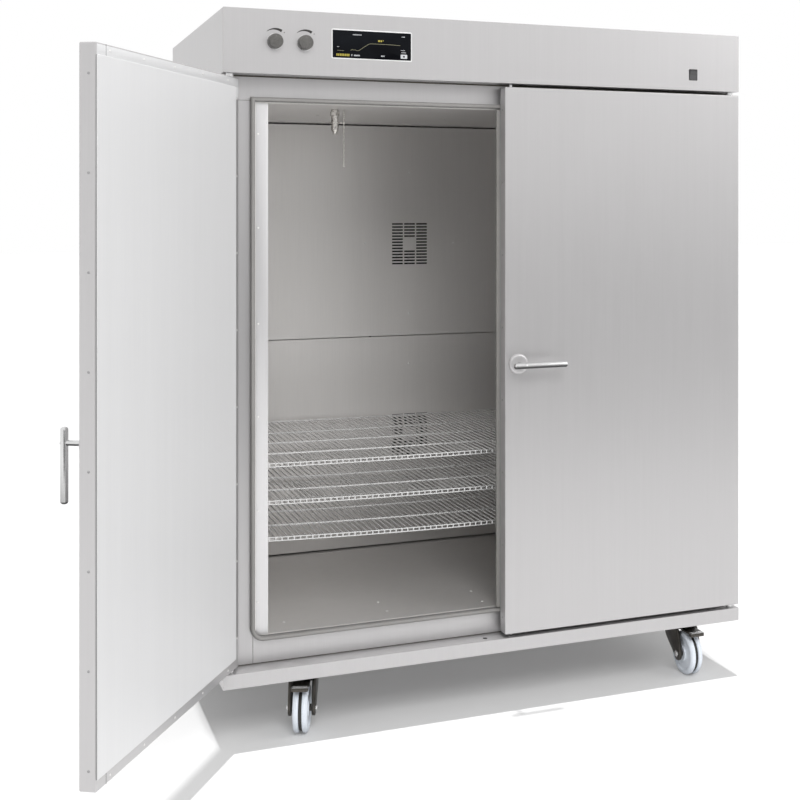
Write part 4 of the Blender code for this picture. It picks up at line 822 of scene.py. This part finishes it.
for name, hang in zip(HANDS, (on_left_door, on_right_door)):
    folded(f"{name}_door_skin", DOOR_FOLD, shell_steel, "brushed_steel")
    folded(f"{name}_door_liner", LINER_FOLD, liner_steel, "polished_steel", LINER_NARROWEST)
    free_edge = FREE_EDGE[name]
    borders = (
        (free_edge + BORDER_INSET, border_end, panel_high.z, skin_high.z - BORDER_INSET),
        (panel_high.x, border_end, HINGE_SCREW_Z[0] + BORDER_INSET, panel_high.z),
    )
    strips = [plate(rounded_box(*border, BORDER_CORNER, 2), SKIM, face_plane) for border in borders]
    screws = [turned(RIVET_HEAD, border_heads, BACK, 12)]
    edge_heads = [(free_edge, EDGE_SCREW_Y, height) for height in EDGE_SCREW_Z]
    # Painted shade: a mid-grey strip in the gap between the skin's free edge and the panel.
    left, right, near, far = EDGE_GAP_SHADE
    edge_gap_shade = rounded_box(left + free_edge, right + free_edge, near, far, EDGE_GAP_SHADE_CORNER, 2)
    edge_marks = [turned(RIVET_HEAD, edge_heads, -RIGHT, 12), plate(edge_gap_shade, EDGE_GAP_SHADE_RIM, upright)]
    seams = []
    for span in SEAM_SPANS:
        seam = rounded_box(SEAM_X - SEAM_HALF, SEAM_X + SEAM_HALF, *span, SEAM_CORNER, 2)
        seams.append(plate(seam, FILM, face_plane))
    for piece, parts, finish, slot in (
        ("door_borders", strips, border_steel, "polished_steel"),
        ("door_screws", screws, screw_steel, "polished_steel"),
        ("edge_screws_and_gap_shade", edge_marks, fold_shade, "dark_steel"),
        ("door_seams", seams, seam_shade, "dark_plastic"),
    ):
        hung = [(hang(points), faces) for points, faces in parts]
        build(f"{name}_{piece}", hung, finish, f"{name}_door", slot)

# Centre seal
# A grey rubber strip with two rounded lips behind the right door's free edge.
# It meets the left door when that is shut.
SEAL_OUTLINE = (
    (0.0018, -0.4297), (0.0288, -0.4297), (0.0288, -0.4270), (0.0258, -0.4240), (0.0246, -0.4190),
    (0.0226, -0.4155), (0.0186, -0.4155), (0.0172, -0.4195), (0.0150, -0.4195), (0.0136, -0.4155),
    (0.0086, -0.4155), (0.0044, -0.4175), (0.0018, -0.4225),
)
SEAL_RIM = (0.2773, 1.6497, 0.0003)
STRIP_RUBBER = (0.24, 0.233, 0.223)
strip_rubber = moulded("strip_rubber", STRIP_RUBBER, roughness=0.5, scale=700.0, contrast=0.1)
parts = [plate(SEAL_OUTLINE, SEAL_RIM, upright)]
build("centre_seal_strip", parts, strip_rubber, "right_door", "seal_rubber", ("centre_seal",))

# Levers
# Polished round bars on a stem through a turned rosette; the right one lies level, the left one hangs down.
# The stem's riveted end stands a little out of the bar's front, and the bar's underside is painted darker:
# painted shade for the dim floor it mirrors.
# Bolts run from each lever to the door's ends, and under each keeper hole in the base sits a dark cup.
LEVER_STANDOFF = 0.052
LEVER_RADIUS = 0.008
LEVER_END = 0.7
LEVER_TAIL = 0.033
LEVER_REACH = 0.125
STEM_RADIUS = 0.0058
STEM_DEPTH = 0.030
STEM_BEAD = (
    (-0.0092, 0.0), (-0.0088, 0.0028), (-0.0076, 0.0046), (-0.0050, 0.0056), (0.0, 0.0056), (0.0, 0.0)
)
KEEPER_PLACE = (0.0375, -0.444, 0.2003)
KEEPER_CUP = (
    (0.0, 0.0068), (0.0, 0.0090), (-0.0160, 0.0090), (-0.0160, 0.0), (-0.0145, 0.0), (-0.0145, 0.0068)
)
LEVER_STEEL = (0.70, 0.70, 0.70)
LEVER_GRAIN = (500.0, 500.0, 500.0)
UNDERSIDE_SHADE = (0.10, 0.10, 0.10)
UNDERSIDE_RANGE = (-0.25, 0.02)
ROSETTE_SECTION = (
    (-0.0003, 0.0061), (-0.0003, 0.0280), (0.0030, 0.0280), (0.0055, 0.0270), (0.0072, 0.0246),
    (0.0078, 0.0205), (0.0078, 0.0061),
)


def paint_underside_shade(material):
    """Paints shade on a finish where it faces down, for the dim floor it mirrors: its colour is multiplied
    by a ramp on the normal's height.
    """
    tree = material.node_tree
    colour = tree.nodes["Principled BSDF"].inputs["Base Color"]
    parts = tree.nodes.new("ShaderNodeSeparateXYZ")
    tree.links.new(tree.nodes.new("ShaderNodeNewGeometry").outputs["Normal"], parts.inputs["Vector"])
    facing = spread(tree, parts.outputs["Z"], UNDERSIDE_RANGE, NOISE_RANGE)
    share = tint(tree, facing, UNDERSIDE_SHADE, WHITE)
    tree.links.new(times(tree, colour.links[0].from_socket, share), colour)


lever_steel = ground_steel(
    "polished_lever_steel", LEVER_STEEL, metallic=0.92, roughness=0.20, grain=LEVER_GRAIN, contrast=0.04
)
# Painted shade: the lever's colour falls where its surface faces down.
paint_underside_shade(lever_steel)
round_end = np.radians(np.linspace(0, 90, 6))
cap_rise = LEVER_RADIUS * LEVER_END * (1 - np.cos(round_end))
start_cap = np.stack((cap_rise, LEVER_RADIUS * np.sin(round_end)), -1)
end_cap = start_cap[::-1] * (-1, 1) + (LEVER_TAIL + LEVER_REACH, 0)
bar_section = np.concatenate((start_cap, end_cap))
stem_section = round_bar(0.0, LEVER_STANDOFF + STEM_DEPTH, STEM_RADIUS)
for name, along in zip(HANDS, (-UP, RIGHT)):
    centre = place_of(f"{name}_lever_turn")
    inwards = axis_of(f"{name}_lever_turn")
    middle = centre - inwards * LEVER_STANDOFF
    parts = [turned(bar_section, middle - along * LEVER_TAIL, along)]
    parts += [turned(stem_section, middle, inwards, 20), turned(STEM_BEAD, middle, inwards, 20)]
    lever = f"{name}_door_lever"
    build(f"{name}_lever_bar", parts, lever_steel, lever, "polished_steel", (f"{name}_lever",))
    parts = [turned(ROSETTE_SECTION, centre, -inwards, 40, ring=True)]
    rosette = f"{name}_lever_rosette"
    build(f"{name}_turned_rosette", parts, shell_steel, f"{name}_door", "brushed_steel", (rosette,))
paint(pin_steel, *[f"{name}_{end}_bolt" for name in HANDS for end in ("top", "bottom")])
cup_starts = [(hand * KEEPER_PLACE[0], *KEEPER_PLACE[1:]) for hand in (-1, 1)]
build("keeper_cups", [turned(KEEPER_CUP, cup_starts, UP, 20)], fork_steel, "cabinet", "dark_steel")

# Hood
# A folded top cover with a flat control fascia in front of it; both are brushed stainless sheet.
# The exhaust box and controller sit under the cover; the pipe leaves at the rear through a collar.
HOOD_FOLD = 0.002
FASCIA_FOLD = 0.0007
FASCIA_NARROWEST = 0.0015
FASCIA_SHORTEST = 0.1
PIPE_COLLAR = (
    (0.0, 0.0224), (0.0, 0.0330), (0.0020, 0.0330), (0.0032, 0.0318), (0.0032, 0.0250), (0.0044, 0.0240),
    (0.0044, 0.0224),
)
folded("hood_cover", HOOD_FOLD, shell_steel, "brushed_steel")
folded("control_fascia", FASCIA_FOLD, shell_steel, "brushed_steel", FASCIA_NARROWEST, FASCIA_SHORTEST)
paint(chamber_steel, "exhaust_box", "exhaust_pipe", "exhaust_flap")
low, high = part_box("exhaust_pipe")
pipe_end = ((low.x + high.x) / 2, REAR_FACE, (low.z + high.z) / 2)
parts = [turned(PIPE_COLLAR, pipe_end, BACK, 32, ring=True)]
build("exhaust_collar", parts, shell_steel, "cabinet", "brushed_steel")

# Knobs
# Two turned grey plastic knobs with a painted pointer, each on a shank over a bright washer. The arc painted
# over each one swells to the right, to show which way gives more.
KNOBS = {"flap": ("exhaust_control", "exhaust_flap_turn"), "fan_speed": ("fan_speed_dial", "fan_speed_turn")}
KNOB_SECTION = (
    (0.0003, 0.0), (0.0003, 0.0182), (0.0010, 0.0192), (0.0150, 0.0189), (0.0168, 0.0183), (0.0178, 0.0171),
    (0.0180, 0.0156), (0.0176, 0.0),
)
KNOB_SHANK = (-0.0235, 0.0010, 0.004)
KNOB_GREY = (0.100, 0.097, 0.092)
ARC_GREY = (0.024, 0.022, 0.021)
POINTER_GREY = (0.17, 0.17, 0.16)
FASCIA_FACE = -0.470
WASHER = ((-0.0002, 0.0045), (-0.0002, 0.0210), (0.0006, 0.0208), (0.0008, 0.0045))
ARC_RADIUS = 0.0322
ARC_SPAN = (-40.0, 33.0)
ARC_WIDTH = (0.0010, 0.0072)
ARC_DOT = (0.0225, 0.0250, 0.0225, 0.0250, 0.0012)
POINTER = (-0.0008, 0.0008, 0.0090, 0.0150, 0.0006)
POINTER_RIM = (0.0170, 0.0182, 0.0002)
knob_plastic = moulded("knob_plastic", KNOB_GREY, roughness=0.42, scale=420.0, contrast=0.55, bump=0.35)
arc_paint = moulded("arc_paint", ARC_GREY, roughness=0.5, scale=1200.0, contrast=0.1)
pointer_paint = moulded("pointer_paint", POINTER_GREY, roughness=0.5, scale=1200.0, contrast=0.06)


def on_fascia(centre):
    """A map from (right, up, out) distances about a point of the fascia to the shared frame."""
    return set_on(centre, RIGHT, UP, -BACK)


def swelling_arc(radius, span, widths, steps=20):
    """An arc strip's outline: at each angle from the vertical it is a growing width across the radius."""
    angle = np.radians(np.linspace(*span, steps))
    width = np.linspace(*widths, steps)
    outer = np.stack((np.sin(angle), np.cos(angle)), -1) * (radius + width / 2)[:, None]
    inner = np.stack((np.sin(angle), np.cos(angle)), -1) * (radius - width / 2)[:, None]
    return np.concatenate((inner, outer[::-1]))


arcs = []
for knob, (body, swing) in KNOBS.items():
    centre = place_of(swing)
    centre[1] = FASCIA_FACE
    face = on_fascia(centre)
    parts = [turned(KNOB_SECTION, centre, -BACK, 48), turned(round_bar(*KNOB_SHANK), centre, -BACK, 16)]
    build(f"{knob}_turned_knob", parts, knob_plastic, body, "dark_plastic", (f"{knob}_knob",))
    mark = plate(rounded_box(*POINTER), POINTER_RIM, face)
    build(f"{knob}_pointer", [mark], pointer_paint, body, "dark_plastic")
    washer = turned(WASHER, centre, -BACK, 40, ring=True)
    build(f"{knob}_washer", [washer], bolt_steel, "cabinet", "polished_steel")
    arcs.append(plate(swelling_arc(ARC_RADIUS, ARC_SPAN, ARC_WIDTH), FILM, face))
    arcs.append(plate(rounded_box(*ARC_DOT), FILM, face))
build("fascia_arcs", arcs, arc_paint, "cabinet", "dark_plastic")

# Touch display
# A black glass panel set in the fascia with a pale plastic frame.
# Its lit picture is a plain programme curve with a few bars and a key.
DISPLAY_RIM = 0.0030
FRAME_SECTION = (
    (0.0001, -0.0014), (0.0001, 0.0), (0.0008, 0.0004), (DISPLAY_RIM - 0.0008, 0.0002),
    (DISPLAY_RIM, -0.0006), (DISPLAY_RIM, -0.0014),
)
FRAME_PALE = (0.74, 0.74, 0.74)
GLASS_CORNER = 0.0015
GLASS_EASE = 0.0006
GLASS_BLACK = (0.003, 0.003, 0.004)
GLASS_SHEEN = (0.007, 0.008, 0.010)
GLASS_CLOUDS = (9.0, 9.0, 14.0)
GLASS_GLOSS = (0.08, 0.16)
GLASS_SPECULAR = 0.05
PIXEL_ROWS = (300.0, 300.0, 1600.0)
ROW_SHADE = -0.25
LIT_ROUGHNESS = 0.3
CURVE_WIDTH = 0.0010
CURVE = (
    (-0.058, -0.0155), (-0.054, -0.0130), (-0.050, -0.0150), (-0.046, -0.0135), (-0.042, -0.0155),
    (-0.036, -0.0150), (-0.020, -0.0040), (-0.009, 0.0030), (-0.004, 0.0040), (0.015, 0.0040),
    (0.045, 0.0040), (0.076, 0.0030),
)
LEGEND_WIDTH = 0.0008
LEGEND = ((-0.094, -0.0170), (-0.085, -0.0168), (-0.076, -0.0172))
WHITE_BARS = (
    (-0.052, -0.028, 0.0245, 0.0270), (0.0240, 0.0340, -0.0285, -0.0255), (0.080, 0.090, 0.0250, 0.0270),
    (-0.0560, -0.0530, -0.0300, -0.0255), (-0.0490, -0.0330, -0.0300, -0.0265),
    (0.078, 0.090, -0.0105, -0.0090), (0.080, 0.093, -0.0165, -0.0145), (-0.094, -0.088, -0.0080, -0.0065),
)
YELLOW_BARS = (
    (-0.0960, -0.0600, -0.0310, -0.0250), (0.0160, 0.0210, 0.0100, 0.0145), (0.0225, 0.0265, 0.0100, 0.0145),
    (0.0285, 0.0310, 0.0125, 0.0145),
)
BLOCK_PITCH = 0.003
BLOCK_SHARE = 0.7
YELLOW_BLOCKS = 8
WHITE_CORNER = 0.0003
YELLOW_CORNER = 0.0004
KEY = (0.0775, 0.0955, -0.0315, -0.0205, 0.0018)
KEY_DOT = (0.0840, 0.0890, -0.0284, -0.0236, 0.0022)
KEY_DOT_RIM = (0.0, 0.0004, 0.0001)
LIT_GREY = (0.20, 0.19, 0.12)
LIT_WHITE = (0.46, 0.47, 0.49)
LIT_YELLOW = (0.33, 0.275, 0.04)


def glowing(name, colour, strength):
    """A lit part of the display: its own colour, broken by fine pixel rows."""
    material, tree, shader, place = start_material(name)
    rows = noise(tree, place, PIXEL_ROWS, 1.0)
    lit = tint(tree, rows, shade(colour, ROW_SHADE), colour)
    tree.links.new(lit, shader.inputs["Base Color"])
    tree.links.new(lit, shader.inputs["Emission Color"])
    shader.inputs["Emission Strength"].default_value = strength
    shader.inputs["Roughness"].default_value = LIT_ROUGHNESS
    return material


def ribbon(path, width):
    """The outline of a strip along an open path: the path moved half the width to each side."""
    path = np.asarray(path, float)
    along = np.gradient(path, axis=0)
    along = along / np.linalg.norm(along, axis=1, keepdims=True)
    normal = np.stack((along[:, 1], -along[:, 0]), -1) * width / 2
    return np.concatenate((path + normal, (path - normal)[::-1]))


def broken(bar, count):
    """A bar (left, right, low, high) split across into a row of count equal blocks with narrow gaps."""
    left, right, low_edge, high_edge = bar
    pitch = (right - left) / count
    starts = [left + pitch * step for step in range(count)]
    return [(start, start + pitch * BLOCK_SHARE, low_edge, high_edge) for start in starts]


low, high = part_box("touch_display")
half_wide = (high.x - low.x) / 2
half_high = (high.z - low.z) / 2
display_face = on_fascia(((low.x + high.x) / 2, low.y, (low.z + high.z) / 2))
glass = rounded_box(-half_wide, half_wide, -half_high, half_high, GLASS_CORNER)
display_glass, tree, shader, place = start_material("display_glass")
sheen = noise(tree, place, GLASS_CLOUDS, CLOUD_DETAIL)
tree.links.new(tint(tree, sheen, GLASS_BLACK, GLASS_SHEEN), shader.inputs["Base Color"])
vary_gloss(tree, shader, sheen, *GLASS_GLOSS)
shader.inputs["Specular IOR Level"].default_value = GLASS_SPECULAR
parts = [plate(glass, (low.y - high.y, 0.0, GLASS_EASE), display_face)]
build("display_glass_panel", parts, display_glass, "cabinet", "display_glass", ("touch_display",))
frame_plastic = moulded("display_frame_plastic", FRAME_PALE, roughness=0.4, scale=900.0, contrast=0.04)
parts = [carried(glass, FRAME_SECTION, display_face, ring=True)]
build("display_frame", parts, frame_plastic, "cabinet", "brushed_steel")
screen_grey = glowing("screen_grey", LIT_GREY, strength=0.3)
screen_white = glowing("screen_white", LIT_WHITE, strength=0.3)
screen_yellow = glowing("screen_yellow", LIT_YELLOW, strength=0.4)
lines = (ribbon(CURVE, CURVE_WIDTH), ribbon(LEGEND, LEGEND_WIDTH))
parts = [plate(line, FILM, display_face) for line in lines]
build("display_curve", parts, screen_grey, "cabinet", "display_glass")
blocks = [block for bar in WHITE_BARS for block in broken(bar, round((bar[1] - bar[0]) / BLOCK_PITCH))]
parts = [plate(rounded_box(*block, WHITE_CORNER, 2), FILM, display_face) for block in blocks]
parts.append(plate(rounded_box(*KEY), FILM, display_face))
build("display_marks", parts, screen_white, "cabinet", "display_glass")
blocks = (*broken(YELLOW_BARS[0], YELLOW_BLOCKS), *YELLOW_BARS[1:])
parts = [plate(rounded_box(*block, YELLOW_CORNER, 2), FILM, display_face) for block in blocks]
build("display_bars", parts, screen_yellow, "cabinet", "display_glass")
parts = [plate(rounded_box(*KEY_DOT), KEY_DOT_RIM, display_face)]
build("display_key_dot", parts, display_glass, "cabinet", "display_glass")

# Power switch
# A dark plastic rocker in a moulded black bezel.
# The bezel clips into a cut-out of the fascia.
BEZEL = (-0.0125, 0.0125, -0.0150, 0.0150, 0.0010)
BEZEL_SECTION = (
    (-0.0004, -0.0060), (-0.0004, 0.0008), (0.0003, 0.0014), (0.0009, 0.0012), (0.0013, -0.0001),
    (0.0002, -0.0001), (0.0, -0.0060),
)
BEZEL_BLACK = (0.035, 0.035, 0.037)
ROCKER_BLACK = (0.070, 0.069, 0.070)
switch_centre = place_of("power_switch_rock")
switch_centre[1] = FASCIA_FACE
switch_plastic = moulded("switch_plastic", BEZEL_BLACK, roughness=0.35, scale=900.0, contrast=0.08)
rocker_plastic = moulded("rocker_plastic", ROCKER_BLACK, roughness=0.3, scale=900.0, contrast=0.08)
parts = [carried(rounded_box(*BEZEL), BEZEL_SECTION, on_fascia(switch_centre), ring=True)]
build("switch_bezel", parts, switch_plastic, "cabinet", "dark_plastic")
paint(rocker_plastic, "switch_rocker")
paint(switch_plastic, "controller_unit")

# Temperature probe
# A steel gland with a hexagon nut, screwed through the ceiling.
# A clamp arm on it holds a thin sheathed sensor rod beside it.
GLAND_INSET = 0.014
GLAND = (0.0, 0.0340, 0.0100)
GLAND_RING = (
    (0.0340, 0.0), (0.0340, 0.0132), (0.0346, 0.0140), (0.0384, 0.0140), (0.0390, 0.0132), (0.0390, 0.0)
)
GLAND_TIP = (
    (0.0390, 0.0), (0.0390, 0.0098), (0.0560, 0.0098), (0.0590, 0.0085), (0.0620, 0.0062), (0.0685, 0.0058),
    (0.0690, 0.0),
)
CAP_NUT = (
    (0.0060, 0.0), (0.0060, 0.0128), (0.0066, 0.0134), (0.0164, 0.0134), (0.0170, 0.0128), (0.0170, 0.0)
)
ROD_OFFSET = 0.025
ROD_SECTION = ((0.0, 0.0), (0.0, 0.0020), (0.1580, 0.0020), (0.1594, 0.0014), (0.1598, 0.0))
CLAMP_ARM = (0.006, ROD_OFFSET + 0.004, -0.004, 0.004, 0.0025)
CLAMP_RIM = (-0.0382, -0.0350, 0.0006)
GLAND_STEEL = (0.60, 0.58, 0.55)
GLAND_GRAIN = (260.0, 260.0, 260.0)
low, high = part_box("temperature_probe")
probe_foot = np.array((low.x + GLAND_INSET, (low.y + high.y) / 2, high.z))
parts = [turned(round_bar(*GLAND), probe_foot, -UP), turned(CAP_NUT, probe_foot, -UP, 6)]
parts += [turned(GLAND_RING, probe_foot, -UP), turned(GLAND_TIP, probe_foot, -UP)]
parts.append(turned(ROD_SECTION, probe_foot + RIGHT * ROD_OFFSET, -UP, 12))
parts.append(plate(rounded_box(*CLAMP_ARM), CLAMP_RIM, set_on(probe_foot, RIGHT, BACK, UP)))
gland_steel = ground_steel(
    "gland_steel", GLAND_STEEL, metallic=0.85, roughness=0.28, grain=GLAND_GRAIN, contrast=0.15
)
build("probe_gland", parts, gland_steel, "cabinet", "brushed_steel", ("temperature_probe",))

# Camera
# The photographer stood left of the middle, with the camera about 1.4 m up.
# The lens is shifted to keep the uprights upright.
SENSOR_WIDTH = 36.0
LENS_LENGTH = 60.008
LENS_SHIFT = (-0.16796, -0.23867)
CAMERA_PLACE = (-1.3174, -3.8635, 1.3758)
CAMERA_TURN = (math.radians(90), 0.0, math.radians(-22.637))
lens = bpy.data.cameras.new("photo_camera")
lens.sensor_width = SENSOR_WIDTH
lens.lens = LENS_LENGTH
lens.shift_x, lens.shift_y = LENS_SHIFT
camera = put_in_scene("photo_camera", lens)
camera.location = CAMERA_PLACE
camera.rotation_euler = CAMERA_TURN
bpy.context.scene.camera = camera

# Studio
# A pale floor under a high lamp, in a white room, with soft boxes in front and at the right.
# A low grey screen stands behind the photographer; of the lamps, the steel mirrors only the right-hand box.
FLOOR_HALF = 40.0
FLOOR_COLOUR = 0.62
FLOOR_LIFT = 0.120
ROOM_DIFFUSE = 0.57
SUN_STRENGTH = 2.85
SUN_SPREAD = math.radians(1.5)
SUN_TILT = math.radians(1.3)
BOX_AIM = mathutils.Vector((-0.3, -0.2, 0.9))
BOXES = (((-0.9, -6.0, 5.0), 2.6, 255.0, False), ((4.4, -3.8, 4.0), 3.0, 75.0, True))
SCREEN_GREY = 0.22
SCREEN_LEFT = -3.0
SCREEN_RIGHT = 4.0
SCREEN_PLACE = -4.4
SCREEN_HIGH = 1.25


def flat_stage(name, corners, grey):
    """A flat four-cornered stage piece in a matt grey, with its node tree and shader."""
    mesh = bpy.data.meshes.new(name)
    mesh.from_pydata(corners, [], [(0, 1, 2, 3)])
    made = put_in_scene(name, mesh)
    material, tree, shader, _ = start_material(name)
    shader.inputs["Base Color"].default_value = (grey, grey, grey, 1)
    shader.inputs["Roughness"].default_value = 1.0
    mesh.materials.append(material)
    return made, tree, shader


def seen_directly(tree):
    """1 for camera, glossy and transmission rays, and 0 for the rays that light other surfaces."""
    path = tree.nodes.new("ShaderNodeLightPath")
    total = path.outputs["Is Camera Ray"]
    for kind in ("Is Glossy Ray", "Is Transmission Ray"):
        largest = tree.nodes.new("ShaderNodeMath")
        largest.operation = "MAXIMUM"
        tree.links.new(total, largest.inputs[0])
        tree.links.new(path.outputs[kind], largest.inputs[1])
        total = largest.outputs[0]
    return total


signs = ((-1, -1), (1, -1), (1, 1), (-1, 1))
corners = [(FLOOR_HALF * across, FLOOR_HALF * along, 0) for across, along in signs]
_, tree, shader = flat_stage("studio_floor", corners, FLOOR_COLOUR)
shader.inputs["Specular IOR Level"].default_value = 0.0
shader.inputs["Emission Color"].default_value = (*WHITE, 1)
lift = spread(tree, seen_directly(tree), (0.0, 1.0), (0.0, FLOOR_LIFT))
tree.links.new(lift, shader.inputs["Emission Strength"])

corners = [(across, SCREEN_PLACE, 0) for across in (SCREEN_RIGHT, SCREEN_LEFT)]
corners += [(across, SCREEN_PLACE, SCREEN_HIGH) for across in (SCREEN_LEFT, SCREEN_RIGHT)]
screen, _, _ = flat_stage("grey_screen", corners, SCREEN_GREY)
screen.visible_camera = False

world = bpy.data.worlds.new("white_room")
bpy.context.scene.world = world
world.use_nodes = True
tree = world.node_tree
background = tree.nodes["Background"]
background.inputs["Color"].default_value = (*WHITE, 1)
room = spread(tree, seen_directly(tree), (0.0, 1.0), (ROOM_DIFFUSE, 1.0))
tree.links.new(room, background.inputs["Strength"])

sun = bpy.data.lights.new("overhead_light", "SUN")
sun.energy = SUN_STRENGTH
sun.angle = SUN_SPREAD
high_lamp = put_in_scene("overhead_light", sun)
high_lamp.visible_glossy = False
high_lamp.rotation_euler = (SUN_TILT, 0.0, 0.0)

for spot, size, power, seen_in_steel in BOXES:
    soft_box = bpy.data.lights.new("soft_box", "AREA")
    soft_box.energy = power
    soft_box.size = size
    box_lamp = put_in_scene("soft_box", soft_box)
    box_lamp.location = spot
    box_lamp.visible_camera = False
    box_lamp.visible_glossy = seen_in_steel
    aim = BOX_AIM - mathutils.Vector(spot)
    box_lamp.rotation_euler = aim.to_track_quat("-Z", "Y").to_euler()

bpy.context.scene.view_settings.view_transform = "Standard"
